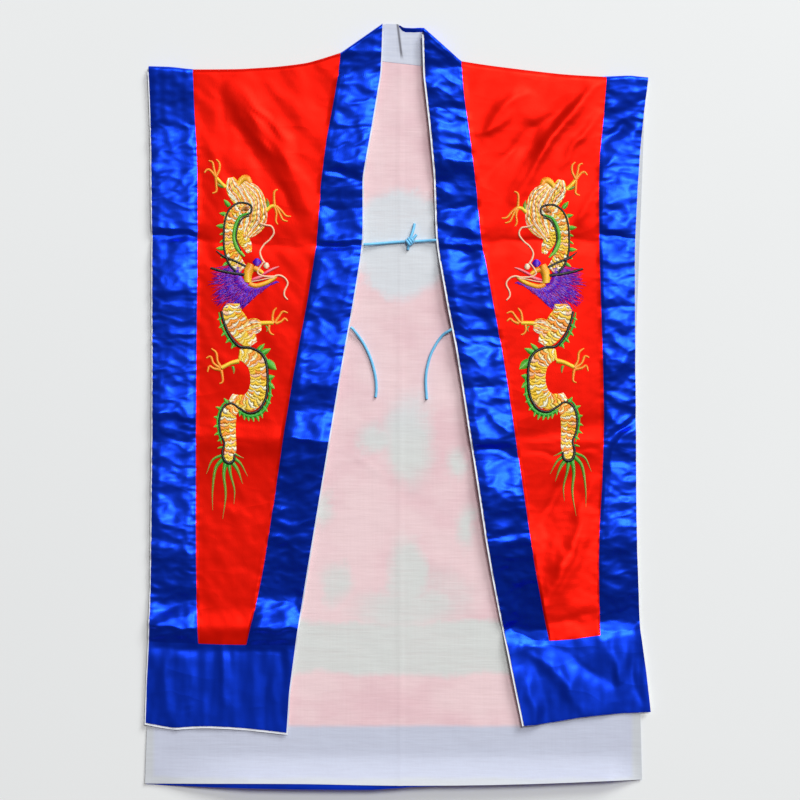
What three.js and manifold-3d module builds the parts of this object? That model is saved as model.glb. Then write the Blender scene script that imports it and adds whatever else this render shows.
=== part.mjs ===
// A sleeveless, open-fronted ceremonial robe, laid out flat on its back with its fronts on top.
//
// Two narrow fronts hang from the shoulder seams over one wide back. Each front has a tapering red
// satin panel between a blue satin side band and a blue satin collar band, over a blue hem band.
// The collar band goes on round the back of the neck, where its pale facing shows. The back is longer
// than the fronts, so its cotton lining shows between and below them. The side seams are open, and
// two pairs of narrow blue ties close the front: the upper pair is knotted, the lower pair is loose.
//
// Units are millimetres. +X is towards the wearer's left, +Y towards the neck and +Z up, away from
// the surface that the robe lies on. The origin is the middle of the laid-out robe, on that surface.
// The "right" front is the wearer's right, at -X.
import * as THREE from 'three';
import { mergeVertices } from 'three/addons/utils/BufferGeometryUtils.js';
import Module from 'manifold-3d';

const wasm = await Module();
wasm.setup();

// Cloth, in layers from the surface up. Each wall is one sheet of cloth and its turnings.
const SATIN = 1.2;
const LINING = 1.0;
const GAP = 0.3;
const SEAM_HALF = GAP / 2;
const LEVEL = { backSatin: 0 };
LEVEL.backLining = LEVEL.backSatin + SATIN + GAP;
LEVEL.frontLining = LEVEL.backLining + LINING + GAP;
LEVEL.frontSatin = LEVEL.frontLining + LINING + GAP;

// The widths and lengths that the cut is made from.
const TURNING = 10;
const LAPEL_REVEAL = 4.5;
const BACK_REVEAL = 1.5;
const BACK_HEM_BAND_TOP = -515;
const BACK_SIDE_SEAM = 320;
const TIE_RADIUS = 2.2;

// Each front's long edges, from the neck down: the outer side, the seam of the side band, the seam of
// the collar band and the open front edge (lapel).
const RIGHT_FRONT_SECTIONS = [
  { y: 612, side: -399, sideSeam: -329, collarSeam: -88, lapel: -24.8 },
  { y: 541, side: -398.4, sideSeam: -328, collarSeam: -93.6, lapel: -27.2 },
  { y: 506, side: -396.8, sideSeam: -326.4, collarSeam: -99.2, lapel: -31.2 },
  { y: 458, side: -395.2, sideSeam: -324.8, collarSeam: -107.2, lapel: -39.2 },
  { y: 410, side: -393.6, sideSeam: -321.6, collarSeam: -116.8, lapel: -51.2 },
  { y: 362, side: -393.4, sideSeam: -320.2, collarSeam: -122.4, lapel: -56.8 },
  { y: 266, side: -392, sideSeam: -320, collarSeam: -129.6, lapel: -57.2 },
  { y: 170, side: -392, sideSeam: -320.8, collarSeam: -144, lapel: -71.2 },
  { y: 74, side: -391.8, sideSeam: -322, collarSeam: -162.4, lapel: -88.8 },
  { y: -22, side: -391.6, sideSeam: -322.4, collarSeam: -178.4, lapel: -104.8 },
  { y: -118, side: -392.6, sideSeam: -322.8, collarSeam: -192.8, lapel: -120.8 },
  { y: -214, side: -393.6, sideSeam: -322.6, collarSeam: -207.6, lapel: -136.8 },
  { y: -310, side: -395.2, sideSeam: -321.6, collarSeam: -225, lapel: -152.8 },
  { y: -380, side: -397.6, sideSeam: -319, collarSeam: -241.6, lapel: -163.6 },
  { y: -454, side: -401.4, sideSeam: -317, collarSeam: -254, lapel: -173.6 },
  { y: -514, side: -403, sideSeam: -316, collarSeam: -264, lapel: -178 },
];
const LEFT_FRONT_SECTIONS = [
  { y: 612, side: 400, sideSeam: 335, collarSeam: 98, lapel: 41 },
  { y: 530, side: 400, sideSeam: 333.6, collarSeam: 102.4, lapel: 43.2 },
  { y: 506, side: 397.6, sideSeam: 332, collarSeam: 104.4, lapel: 44.4 },
  { y: 458, side: 391.2, sideSeam: 328, collarSeam: 110.4, lapel: 51.2 },
  { y: 410, side: 386.4, sideSeam: 322.8, collarSeam: 117.6, lapel: 56.4 },
  { y: 362, side: 383.2, sideSeam: 320.8, collarSeam: 123.6, lapel: 60.4 },
  { y: 266, side: 378.6, sideSeam: 321.6, collarSeam: 132.8, lapel: 64 },
  { y: 218, side: 377.8, sideSeam: 322.4, collarSeam: 142.4, lapel: 71.2 },
  { y: 170, side: 378.2, sideSeam: 324, collarSeam: 150.8, lapel: 79.6 },
  { y: 74, side: 378.6, sideSeam: 327.2, collarSeam: 168.8, lapel: 98.4 },
  { y: -22, side: 379.6, sideSeam: 329, collarSeam: 183.2, lapel: 112.8 },
  { y: -118, side: 380, sideSeam: 326.4, collarSeam: 197.6, lapel: 128.4 },
  { y: -214, side: 381.2, sideSeam: 321, collarSeam: 212, lapel: 142.6 },
  { y: -310, side: 384.8, sideSeam: 321.6, collarSeam: 228.4, lapel: 160 },
  { y: -374, side: 388.4, sideSeam: 323.2, collarSeam: 241.6, lapel: 173.4 },
  { y: -454, side: 400.8, sideSeam: 326, collarSeam: 258, lapel: 189.6 },
  { y: -514, side: 405, sideSeam: 328, collarSeam: 268, lapel: 202 },
];

// The top edge of each front: along the shoulder seam to the collar band, and then up the fold where
// the band turns to the back of the neck. Then the seam of the hem band, and the hem.
const RIGHT_SHOULDER = [
  { x: -405, y: 543.8 }, { x: -364.8, y: 542.8 }, { x: -326, y: 538.2 }, { x: -252.8, y: 538.8 },
  { x: -188.8, y: 542.8 }, { x: -140.8, y: 549.2 }, { x: -91.2, y: 565.2 }, { x: -24.8, y: 611.6 },
];
const LEFT_SHOULDER = [
  { x: 41.6, y: 605.2 }, { x: 101.6, y: 551.2 }, { x: 147.2, y: 544.4 }, { x: 211.2, y: 536.4 },
  { x: 267.2, y: 530 }, { x: 332.8, y: 526.4 }, { x: 371.2, y: 529.2 }, { x: 405, y: 525 },
];
const RIGHT_HEM_SEAM = [{ x: -400, y: -375 }, { x: -280, y: -380 }, { x: -160, y: -381 }];
const LEFT_HEM_SEAM = [{ x: 170, y: -369 }, { x: 240, y: -375 }, { x: 323, y: -366 }, { x: 392, y: -355 }];
const RIGHT_HEM = [
  { x: -405, y: -504.6 }, { x: -372.8, y: -513.2 }, { x: -316.8, y: -510.6 },
  { x: -252.8, y: -513.2 }, { x: -177.6, y: -521 },
];
const LEFT_HEM = [
  { x: 198, y: -509.6 }, { x: 235.2, y: -506.4 }, { x: 283.2, y: -498 }, { x: 339.2, y: -491.6 },
  { x: 405, y: -487.8 },
];

// The back: its open sides, its hem and the neck seam below the collar band.
const BACK_SECTIONS = [
  { y: 545, left: -396, right: 395 },
  { y: 400, left: -392, right: 390 },
  { y: 230, left: -390, right: 383.6 },
  { y: 0, left: -389, right: 376 },
  { y: -250, left: -392, right: 378 },
  { y: -515, left: -400, right: 387 },
  { y: -612, left: -403.2, right: 389 },
];
const BACK_HEM = [
  { x: -404, y: -604.4 }, { x: -300.8, y: -609 }, { x: -156.8, y: -612 }, { x: 3.2, y: -611.6 },
  { x: 67.2, y: -609.2 }, { x: 195.2, y: -604.6 }, { x: 391, y: -597 },
];
const BACK_LINING_HEM = [
  { x: -404, y: -603 }, { x: -156.8, y: -603.6 }, { x: 3.2, y: -606 }, { x: 195.2, y: -604.2 },
  { x: 391, y: -596.6 },
];
const NECK_SEAM = [
  { x: -91.2, y: 562 }, { x: -60, y: 556 }, { x: -22.4, y: 551 }, { x: 14.4, y: 546.8 },
  { x: 51.2, y: 543.4 }, { x: 101.6, y: 545 },
];

// How far each front is off the back. The lapel edge stands up by a height that changes down its
// length, and storage folds cross the whole front as ridges (+) or troughs (-).
const SLACK = 2.2;
const LAPEL_REACH = 46;
const LAPEL_LIFT = {
  right: [
    { y: 612, height: 2 }, { y: 420, height: 3 }, { y: 230, height: 4.5 }, { y: -60, height: 3 },
    { y: -300, height: 2.5 }, { y: -520, height: 2 },
  ],
  left: [
    { y: 612, height: 3 }, { y: 540, height: 8 }, { y: 400, height: 5 }, { y: 262, height: 4 },
    { y: 180, height: 9 }, { y: -60, height: 8 }, { y: -240, height: 10 }, { y: -420, height: 8 },
    { y: -520, height: 5 },
  ],
};
const STORAGE_FOLDS = {
  right: [
    { y: 255, tilt: -0.04, height: -2, reach: 24 }, { y: -62, tilt: -0.035, height: 3.2, reach: 34 },
    { y: -360, tilt: -0.02, height: 4, reach: 32 },
  ],
  left: [
    { y: 262, tilt: 0, height: -2, reach: 24 }, { y: -88, tilt: 0.18, height: -1.9, reach: 34 },
    { y: -383, tilt: 0.126, height: -2, reach: 38 },
  ],
};
// Long soft folds that run across a front from one point to another, as drag lines do.
const DRAG_FOLDS = {
  right: [
    { x0: -262, y0: 506, x1: -132, y1: 366, width: 24, height: 3 },
    { x0: -286, y0: 460, x1: -196, y1: 346, width: 26, height: -1.6 },
  ],
  left: [
    { x0: 312, y0: 502, x1: 194, y1: 346, width: 24, height: 3 },
    { x0: 278, y0: 484, x1: 176, y1: 388, width: 26, height: -1.6 },
    { x0: 302, y0: -176, x1: 224, y1: -330, width: 24, height: 3.2 },
    { x0: 392, y0: 520, x1: 334, y1: 418, width: 24, height: -1.8 },
    { x0: 240, y0: -404, x1: 330, y1: -476, width: 26, height: 2.6 },
  ],
};

// The value of a column of a table at some place, along a smooth curve through its rows.
function readTable(table, key, place, column) {
  const rising = table[0][key] < table[table.length - 1][key];
  const rows = rising ? table : [...table].reverse();
  const last = rows.length - 1;
  let i = 0;
  while (i < last - 1 && place > rows[i + 1][key]) i += 1;
  const slope = (a, b) => (rows[b][column] - rows[a][column]) / (rows[b][key] - rows[a][key]);
  const before = slope(Math.max(i - 1, 0), Math.max(i - 1, 0) + (i > 0 ? 2 : 1));
  const after = slope(i, Math.min(i + 2, last));
  const span = rows[i + 1][key] - rows[i][key];
  const t = THREE.MathUtils.clamp((place - rows[i][key]) / span, 0, 1);
  const t2 = t * t;
  const t3 = t2 * t;
  return (
    (2 * t3 - 3 * t2 + 1) * rows[i][column] +
    (t3 - 2 * t2 + t) * span * before +
    (3 * t2 - 2 * t3) * rows[i + 1][column] +
    (t3 - t2) * span * after
  );
}

// The same, with straight lines between the rows, for edges with a corner in them.
function readStraight(table, key, place, column) {
  const last = table.length - 1;
  let i = 0;
  while (i < last - 1 && place > table[i + 1][key]) i += 1;
  const t = THREE.MathUtils.clamp((place - table[i][key]) / (table[i + 1][key] - table[i][key]), 0, 1);
  return THREE.MathUtils.lerp(table[i][column], table[i + 1][column], t);
}

// 1 at no distance, falling smoothly to 0 at the reach.
function fade(distance, reach) {
  return 1 - THREE.MathUtils.smoothstep(Math.abs(distance), 0, reach);
}

// The same for a fold that was pressed in storage: it comes to an edge.
const FOLD_SHARPNESS = 1.6;
function pressedFold(distance, reach) {
  return Math.max(0, 1 - Math.abs(distance) / reach) ** FOLD_SHARPNESS;
}

// 1 along the middle of a drag fold, running out over its two ends.
function alongDragFold(t) {
  const { smoothstep } = THREE.MathUtils;
  return smoothstep(t, -0.15, 0.25) * (1 - smoothstep(t, 0.75, 1.15));
}

// `outward` is the direction of the side seam in x. The reveals are how far the lining shows past the
// satin at the side and at the hem.
const FRONTS = {
  right: {
    outward: -1, sections: RIGHT_FRONT_SECTIONS, shoulder: RIGHT_SHOULDER, hemSeam: RIGHT_HEM_SEAM,
    hem: RIGHT_HEM, sideReveal: 2, hemReveal: 3.5,
  },
  left: {
    outward: 1, sections: LEFT_FRONT_SECTIONS, shoulder: LEFT_SHOULDER, hemSeam: LEFT_HEM_SEAM,
    hem: LEFT_HEM, sideReveal: 0.5, hemReveal: 0.5,
  },
};

// How far a front is off the layers below it at a place on the robe.
function liftOf(which, x, y) {
  const front = FRONTS[which];
  const lapelX = readTable(front.sections, 'y', y, 'lapel');
  let lift = SLACK;
  lift += readTable(LAPEL_LIFT[which], 'y', y, 'height') * fade(x - lapelX, LAPEL_REACH);
  for (const f of STORAGE_FOLDS[which]) {
    lift += f.height * pressedFold(y - f.y - f.tilt * x, f.reach);
  }
  for (const f of DRAG_FOLDS[which]) {
    const along = new THREE.Vector2(f.x1 - f.x0, f.y1 - f.y0);
    const long = along.length();
    along.divideScalar(long);
    const from = new THREE.Vector2(x - f.x0, y - f.y0);
    lift += f.height * alongDragFold(from.dot(along) / long) * fade(from.cross(along), f.width);
  }
  return Math.max(lift, 0);
}

// The height of a front's satin. At the shoulder seam it rolls down to meet the back.
function satinHeight(which, x, y) {
  const below = readStraight(FRONTS[which].shoulder, 'x', x, 'y') - y;
  const roll = fade(below, TURNING);
  const flat = LEVEL.frontSatin + liftOf(which, x, y);
  return THREE.MathUtils.lerp(flat, LEVEL.backLining, roll);
}

// A sheet of cloth as a closed wall: `point(column, row)` gives its lower face as a grid, and its upper
// face lies one thickness above.
function clothWall(columns, rows, point, thickness) {
  const lower = [];
  for (let r = 0; r < rows; r += 1) {
    for (let c = 0; c < columns; c += 1) lower.push(point(c, r));
  }
  const count = lower.length;
  const positions = [];
  for (const p of lower) positions.push(p.x, p.y, p.z);
  for (const p of lower) positions.push(p.x, p.y, p.z + thickness);
  const side1 = new THREE.Vector3().subVectors(lower[1], lower[0]);
  const side2 = new THREE.Vector3().subVectors(lower[columns], lower[0]);
  const faceUp = side1.cross(side2).z > 0;
  const index = [];
  const quad = (a, b, c, d) => {
    if (faceUp) index.push(a, b, c, a, c, d);
    else index.push(a, c, b, a, d, c);
  };
  for (let r = 0; r < rows - 1; r += 1) {
    for (let c = 0; c < columns - 1; c += 1) {
      const a = r * columns + c;
      quad(count + a, count + a + 1, count + a + columns + 1, count + a + columns);
      quad(a, a + columns, a + columns + 1, a + 1);
    }
  }
  for (let c = 0; c < columns - 1; c += 1) {
    const bottom = (rows - 1) * columns + c;
    quad(c, c + 1, count + c + 1, count + c);
    quad(bottom + 1, bottom, count + bottom, count + bottom + 1);
  }
  for (let r = 0; r < rows - 1; r += 1) {
    const a = r * columns;
    const b = a + columns - 1;
    quad(a + columns, a, count + a, count + a + columns);
    quad(b, b + columns, count + b + columns, count + b);
  }
  const geometry = new THREE.BufferGeometry();
  geometry.setAttribute('position', new THREE.Float32BufferAttribute(positions, 3));
  geometry.setIndex(index);
  geometry.computeVertexNormals();
  return geometry;
}

// The grid that all the pieces of one front share. Its rows follow the guide lines: the shoulder, each
// storage fold, the seam of the hem band and the hem. Its columns follow the long seams.
const GUIDE_X = 240;
const ROW_STEP = 62;
const LEAST_ROW_STEP = 25;
const LEAST_SEAM_STEP = 8;
const FOLD_ROWS = [-26, -9, 0, 9, 26];
const SHOULDER_ROWS = [0, -4, -TURNING, -32];
const CELLS = { sideBand: 2, redPanel: 9, collarBand: 3 };

function frontRows(which, guides) {
  const top = guides[0].station;
  const hem = guides[guides.length - 1].station;
  const seam = guides[guides.length - 2].station;
  const rows = [...SHOULDER_ROWS.map((offset) => top + offset), seam, hem];
  for (const g of guides.slice(1, -2)) {
    rows.push(...FOLD_ROWS.map((offset) => g.station + offset).filter((y) => y > seam + LEAST_SEAM_STEP));
  }
  const clear = (y) => rows.every((row) => Math.abs(row - y) > LEAST_ROW_STEP);
  const count = Math.ceil((top - hem) / ROW_STEP);
  const between = [];
  for (let i = 1; i < count; i += 1) between.push(THREE.MathUtils.lerp(top, hem, i / count));
  rows.push(...between.filter(clear), hem - FRONTS[which].hemReveal);
  return rows.sort((a, b) => b - a);
}

function frontGrid(which) {
  const front = FRONTS[which];
  const middle = front.outward * GUIDE_X;
  const lines = [
    (x) => readStraight(front.shoulder, 'x', x, 'y'),
    ...STORAGE_FOLDS[which].map((f) => (x) => f.y + f.tilt * x),
    (x) => readTable(front.hemSeam, 'x', x, 'y'),
    (x) => readTable(front.hem, 'x', x, 'y'),
  ];
  const guides = lines.map((line) => ({ station: line(middle), line }));
  const rows = frontRows(which, guides);
  const edge = (column, inset) => (y) => readTable(front.sections, 'y', y, column) + inset * front.outward;
  const side = edge('side', 0);
  const sideSeam = edge('sideSeam', 0);
  const collarSeam = edge('collarSeam', 0);
  const lapel = edge('lapel', 0);
  const columns = [edge('side', front.sideReveal), side];
  const addCells = (from, to, cells) => {
    for (let i = 1; i <= cells; i += 1) {
      columns.push((y) => THREE.MathUtils.lerp(from(y), to(y), i / cells));
    }
  };
  addCells(side, sideSeam, CELLS.sideBand);
  addCells(sideSeam, collarSeam, CELLS.redPanel);
  addCells(collarSeam, lapel, CELLS.collarBand);
  columns.push(edge('lapel', -LAPEL_REVEAL));

  // Row heights between two guides move as the guides do at that place across the front.
  const rowY = (station, x) => {
    let i = 0;
    while (i < guides.length - 2 && station < guides[i + 1].station) i += 1;
    const [above, below] = [guides[i], guides[i + 1]];
    const t = THREE.MathUtils.clamp((above.station - station) / (above.station - below.station), 0, 1);
    const shift = THREE.MathUtils.lerp(above.line(x) - above.station, below.line(x) - below.station, t);
    return station + shift;
  };
  const point = (c, r) => {
    let y = rows[r];
    for (let i = 0; i < 5; i += 1) y = rowY(rows[r], columns[c](y));
    return new THREE.Vector2(columns[c](y), y);
  };
  const seamRow = rows.indexOf(guides[guides.length - 2].station);
  return { rows, columns, point, seamRow };
}

// A part of a front's grid as a wall of cloth. `trim` moves its seam edges apart from the next piece.
function frontPiece(grid, range, height, thickness, trim = () => [0, 0]) {
  const { c0, c1, r0, r1 } = range;
  const point = (c, r) => {
    const p = grid.point(c0 + c, r0 + r);
    const [dx, dy] = trim(c0 + c, r0 + r);
    return new THREE.Vector3(p.x + dx, p.y + dy, height(p.x, p.y));
  };
  return clothWall(c1 - c0 + 1, r1 - r0 + 1, point, thickness);
}

const COLOURS = { blue: 0x0a35c8, red: 0xe8170c, lining: 0xe9dcdc, facing: 0xdfe2ea, tie: 0x5ab4e6 };
function clothMaterial(colour, roughness) {
  return new THREE.MeshStandardMaterial({ color: colour, roughness, metalness: 0 });
}
const BLUE_SATIN = clothMaterial(COLOURS.blue, 0.35);
const RED_SATIN = clothMaterial(COLOURS.red, 0.4);
const COTTON = clothMaterial(COLOURS.lining, 0.9);
const FACING_COTTON = clothMaterial(COLOURS.facing, 0.9);
const TIE_SATIN = clothMaterial(COLOURS.tie, 0.5);

const robe = new THREE.Group();
function addPiece(name, geometry, material) {
  const mesh = new THREE.Mesh(geometry, material);
  mesh.name = name;
  robe.add(mesh);
  return mesh;
}

// One front: side band, red panel, collar band, hem band and the lining under all four.
function addFront(which) {
  const { outward } = FRONTS[which];
  const grid = frontGrid(which);
  const side = 1;
  const sideSeam = side + CELLS.sideBand;
  const collarSeam = sideSeam + CELLS.redPanel;
  const lapel = collarSeam + CELLS.collarBand;
  const hem = grid.rows.length - 2;
  const satin = (x, y) => satinHeight(which, x, y);
  const lining = (x, y) => LEVEL.frontLining + liftOf(which, x, y);
  const strip = (name, c0, c1, material) => {
    const trim = (c, r) => {
      const inner = c === c1 && c !== lapel ? 1 : 0;
      const outer = c === c0 && c !== side ? -1 : 0;
      return [(inner + outer) * SEAM_HALF * outward, r === grid.seamRow ? SEAM_HALF : 0];
    };
    const range = { c0, c1, r0: 0, r1: grid.seamRow };
    addPiece(`${which}_${name}`, frontPiece(grid, range, satin, SATIN, trim), material);
  };
  strip('side_band', side, sideSeam, BLUE_SATIN);
  strip('red_panel', sideSeam, collarSeam, RED_SATIN);
  strip('collar_band', collarSeam, lapel, BLUE_SATIN);
  const hemRange = { c0: side, c1: lapel, r0: grid.seamRow, r1: hem };
  const hemTrim = (c, r) => [0, r === grid.seamRow ? -SEAM_HALF : 0];
  addPiece(`${which}_hem_band`, frontPiece(grid, hemRange, satin, SATIN, hemTrim), BLUE_SATIN);
  const turned = SHOULDER_ROWS.indexOf(-TURNING);
  const liningRange = { c0: 0, c1: lapel + 1, r0: turned, r1: hem + 1 };
  addPiece(`${which}_front_lining`, frontPiece(grid, liningRange, lining, LINING), COTTON);
}
addFront('right');
addFront('left');

// The back lies face down: its satin is flat on the surface, and the lining lies on it. Its pieces
// share these places across the robe, so that their edges meet along the neck seam.
const COLLAR_STATIONS = [
  -91, -72, -54, -38, -24.8, -16, -8, -1, 3, 6, 8, 16, 24, 32, 41.6, 56, 72, 88, 101.5,
];
const PANEL_STATIONS = [-252.8, -188.8, -140.8, ...COLLAR_STATIONS, 147.2, 211.2, 267.2];
const SIDE_STATIONS = { right: -364.8, left: 371.2 };
const SIDE_ROWS = 9;
const NECK = { from: COLLAR_STATIONS[0], to: COLLAR_STATIONS[COLLAR_STATIONS.length - 1] };
const neckSeam = (x) => readTable(NECK_SEAM, 'x', x, 'y');
const shoulderLine = (x) => {
  return x < 0 ? readStraight(RIGHT_SHOULDER, 'x', x, 'y') : readStraight(LEFT_SHOULDER, 'x', x, 'y');
};
const panelTop = (x) => {
  return x >= NECK.from && x <= NECK.to ? neckSeam(x) - SEAM_HALF : shoulderLine(x);
};
const liningTop = (x) => {
  return x > NECK.from && x < NECK.to ? neckSeam(x) - SEAM_HALF : shoulderLine(x) - TURNING;
};
const backHem = (x) => readTable(BACK_HEM, 'x', x, 'y');
const backLiningHem = (x) => readTable(BACK_LINING_HEM, 'x', x, 'y');
const backSide = (column, reveal) => (y) => readTable(BACK_SECTIONS, 'y', y, column) + reveal;
const seamAt = (x) => () => x;

// A flat piece of the back. Each column is a place across the robe, the same all the way down or one
// that follows a side edge.
function backPiece(columns, rows, topLine, bottomLine, height, thickness) {
  const point = (c, r) => {
    const column = columns[c];
    let y = 0;
    for (let i = 0; i < 5; i += 1) {
      y = THREE.MathUtils.lerp(topLine(column(y)), bottomLine(column(y)), r / (rows - 1));
    }
    return new THREE.Vector3(column(y), y, height);
  };
  return clothWall(columns.length, rows, point, thickness);
}

const aboveHemBand = () => BACK_HEM_BAND_TOP + SEAM_HALF;
const redColumns = [-BACK_SIDE_SEAM + SEAM_HALF, ...PANEL_STATIONS, BACK_SIDE_SEAM - SEAM_HALF].map(seamAt);
addPiece('back_red_panel', backPiece(redColumns, 2, panelTop, aboveHemBand, 0, SATIN), RED_SATIN);
const rightBandColumns = [
  backSide('left', 0), seamAt(SIDE_STATIONS.right), seamAt(-BACK_SIDE_SEAM - SEAM_HALF),
];
addPiece(
  'back_right_side_band',
  backPiece(rightBandColumns, SIDE_ROWS, shoulderLine, aboveHemBand, 0, SATIN),
  BLUE_SATIN,
);
const leftBandColumns = [
  seamAt(BACK_SIDE_SEAM + SEAM_HALF), seamAt(SIDE_STATIONS.left), backSide('right', 0),
];
addPiece(
  'back_left_side_band',
  backPiece(leftBandColumns, SIDE_ROWS, shoulderLine, aboveHemBand, 0, SATIN),
  BLUE_SATIN,
);
const hemColumns = [
  backSide('left', 0), ...[-300, -228, -157, -77, 3, 67, 130, 195, 290].map(seamAt), backSide('right', 0),
];
addPiece(
  'back_hem_band',
  backPiece(hemColumns, 2, () => BACK_HEM_BAND_TOP - SEAM_HALF, backHem, 0, SATIN),
  BLUE_SATIN,
);
const liningColumns = [
  backSide('left', -BACK_REVEAL), ...[-300, ...PANEL_STATIONS, 320].map(seamAt),
  backSide('right', BACK_REVEAL),
];
addPiece(
  'back_lining',
  backPiece(liningColumns, SIDE_ROWS, liningTop, backLiningHem, LEVEL.backLining, LINING),
  COTTON,
);

// The collar band behind the neck: a short piece between the two folds, its satin underneath and its
// pale facing on top. Over the wearer's left half its top edge curls up, and the satin shows.
const COLLAR_TOP = [
  { x: -24.8, y: 611.6 }, { x: -10, y: 612 }, { x: 2, y: 610 }, { x: 8, y: 604.6 }, { x: 24, y: 603.8 },
  { x: 41.6, y: 605.2 },
];
const CURL = { from: -1, full: 6, fading: 34, to: 41.6, depth: 9, rise: 3.4 };
const COLLAR_ROWS = [0, 0.04, 0.09, 0.14, 0.2, 0.5, 1];
const collarTop = (x) => {
  if (x < COLLAR_TOP[0].x || x > COLLAR_TOP[5].x) return shoulderLine(x);
  return readStraight(COLLAR_TOP, 'x', x, 'y');
};
const curlAcross = (x) => {
  const { smoothstep } = THREE.MathUtils;
  return smoothstep(x, CURL.from, CURL.full) * (1 - smoothstep(x, CURL.fading, CURL.to));
};
const curlHeight = (x, y) => {
  return CURL.rise * curlAcross(x) * fade(Math.max(collarTop(x) - y - 2, 0), CURL.depth - 2);
};

// The facing stops short of the folds that the fronts roll over, and of the curl.
const facingTop = (x) => {
  if (x < COLLAR_TOP[0].x || x > COLLAR_TOP[5].x) return shoulderLine(x) - TURNING - 3;
  return collarTop(x) - (x < CURL.from ? 1.5 : CURL.depth + 1);
};
function collarPiece(stations, topLine, height, thickness) {
  const point = (c, r) => {
    const x = stations[c];
    const seam = neckSeam(x) + SEAM_HALF;
    const y = THREE.MathUtils.lerp(topLine(x), seam, COLLAR_ROWS[r]);
    return new THREE.Vector3(x, y, height(x, y));
  };
  return clothWall(stations.length, COLLAR_ROWS.length, point, thickness);
}
addPiece('back_collar_band', collarPiece(COLLAR_STATIONS, collarTop, curlHeight, SATIN), BLUE_SATIN);
const facingStations = COLLAR_STATIONS.slice(1, -1);
addPiece(
  'back_collar_facing',
  collarPiece(facingStations, facingTop, () => LEVEL.backLining, LINING),
  FACING_COTTON,
);

// The ties: narrow rolled satin cords sewn into the front edges. They come out at the edge of the
// lining and lie on the back lining. Each route is a list of places on the robe, set by hand.
const ON_LINING = LEVEL.backLining + LINING + GAP + TIE_RADIUS;
const TIE_SIDES = 8;
function tieGeometry(route, steps) {
  const ring = new THREE.Shape();
  for (let i = 0; i < TIE_SIDES; i += 1) {
    const angle = (i / TIE_SIDES) * Math.PI * 2;
    const x = TIE_RADIUS * Math.cos(angle);
    const y = TIE_RADIUS * Math.sin(angle);
    if (i === 0) ring.moveTo(x, y);
    else ring.lineTo(x, y);
  }
  ring.closePath();
  const curve = new THREE.CatmullRomCurve3(route.map(([x, y, z]) => new THREE.Vector3(x, y, z)));
  return new THREE.ExtrudeGeometry(ring, { steps, bevelEnabled: false, extrudePath: curve });
}
const TIE_ROUTES = {
  right_upper_tie: [
    [-51.6, 258.2, 9.6], [-46, 258.6, 9.2], [-36, 259.4, 7.4], [-24, 260.4, 6], [-10, 261.6, 5.2],
    [2, 262.4, 5.2], [8.6, 262.8, 5.8],
  ],
  left_upper_tie: [
    [58.8, 265, 9.4], [54, 264.8, 8.8], [47, 264.4, 7.2], [40, 264, 6], [33, 263.6, 5.6],
    [29.4, 263.4, 5.8],
  ],
  right_lower_tie: [
    [-72.6, 124, 8.8], [-69, 119.6, 8.2], [-63, 112, 6.4], [-57, 103.4, 5.2], [-50.8, 92.4, 5],
    [-44.4, 78, 5], [-38.8, 60, 5], [-35.4, 42, 5], [-34.6, 26, 5], [-35.6, 14.4, 5],
  ],
  left_lower_tie: [
    [84.2, 122, 12.6], [80, 119.4, 11.6], [73, 115, 8.4], [66, 107, 5.8], [59.6, 97, 5], [53, 84, 5],
    [48, 68, 5], [45, 52, 5], [44.4, 36, 5], [45.2, 22, 5], [46, 11.2, 5],
  ],
};
for (const [name, route] of Object.entries(TIE_ROUTES)) {
  addPiece(name, tieGeometry(route, (route.length - 1) * 2), TIE_SATIN);
}

// The knot of the upper ties: the wrapped body, a long tail that stands towards the neck, a short one
// beside it and the cut stub below, joined as one solid.
const KNOT = { centre: [19, 263.2, 7.6], radii: [9.6, 8.2, 4.6] };
const KNOT_TAILS = [
  [[19, 264, 8], [22, 272, 8], [25, 282, 6.6], [26.4, 291.6, 5.2]],
  [[20, 264, 9], [25, 268.4, 9.4], [29.4, 273.8, 9]],
  [[17.6, 262, 8], [16.6, 256.6, 6.4], [16, 250.2, 5.2]],
];
function asSolid(geometry) {
  const bare = new THREE.BufferGeometry();
  bare.setAttribute('position', geometry.getAttribute('position'));
  if (geometry.index) bare.setIndex(geometry.index);
  const merged = mergeVertices(bare, 1e-4);
  return new wasm.Manifold(new wasm.Mesh({
    numProp: 3,
    vertProperties: new Float32Array(merged.getAttribute('position').array),
    triVerts: new Uint32Array(merged.index.array),
  }));
}
function asGeometry(solid) {
  const mesh = solid.getMesh();
  const geometry = new THREE.BufferGeometry();
  geometry.setAttribute('position', new THREE.BufferAttribute(mesh.vertProperties, mesh.numProp));
  geometry.setIndex(new THREE.BufferAttribute(mesh.triVerts, 1));
  geometry.computeVertexNormals();
  return geometry;
}
const knotBody = new THREE.SphereGeometry(1, 14, 9);
knotBody.scale(...KNOT.radii);
knotBody.translate(...KNOT.centre);
let knot = asSolid(knotBody);
for (const tail of KNOT_TAILS) knot = knot.add(asSolid(tieGeometry(tail, (tail.length - 1) * 2)));
addPiece('tie_knot', asGeometry(knot), TIE_SATIN);

export default robe;
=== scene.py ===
import bmesh
import bpy
import numpy as np
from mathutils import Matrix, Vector
from mathutils.bvhtree import BVHTree


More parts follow.
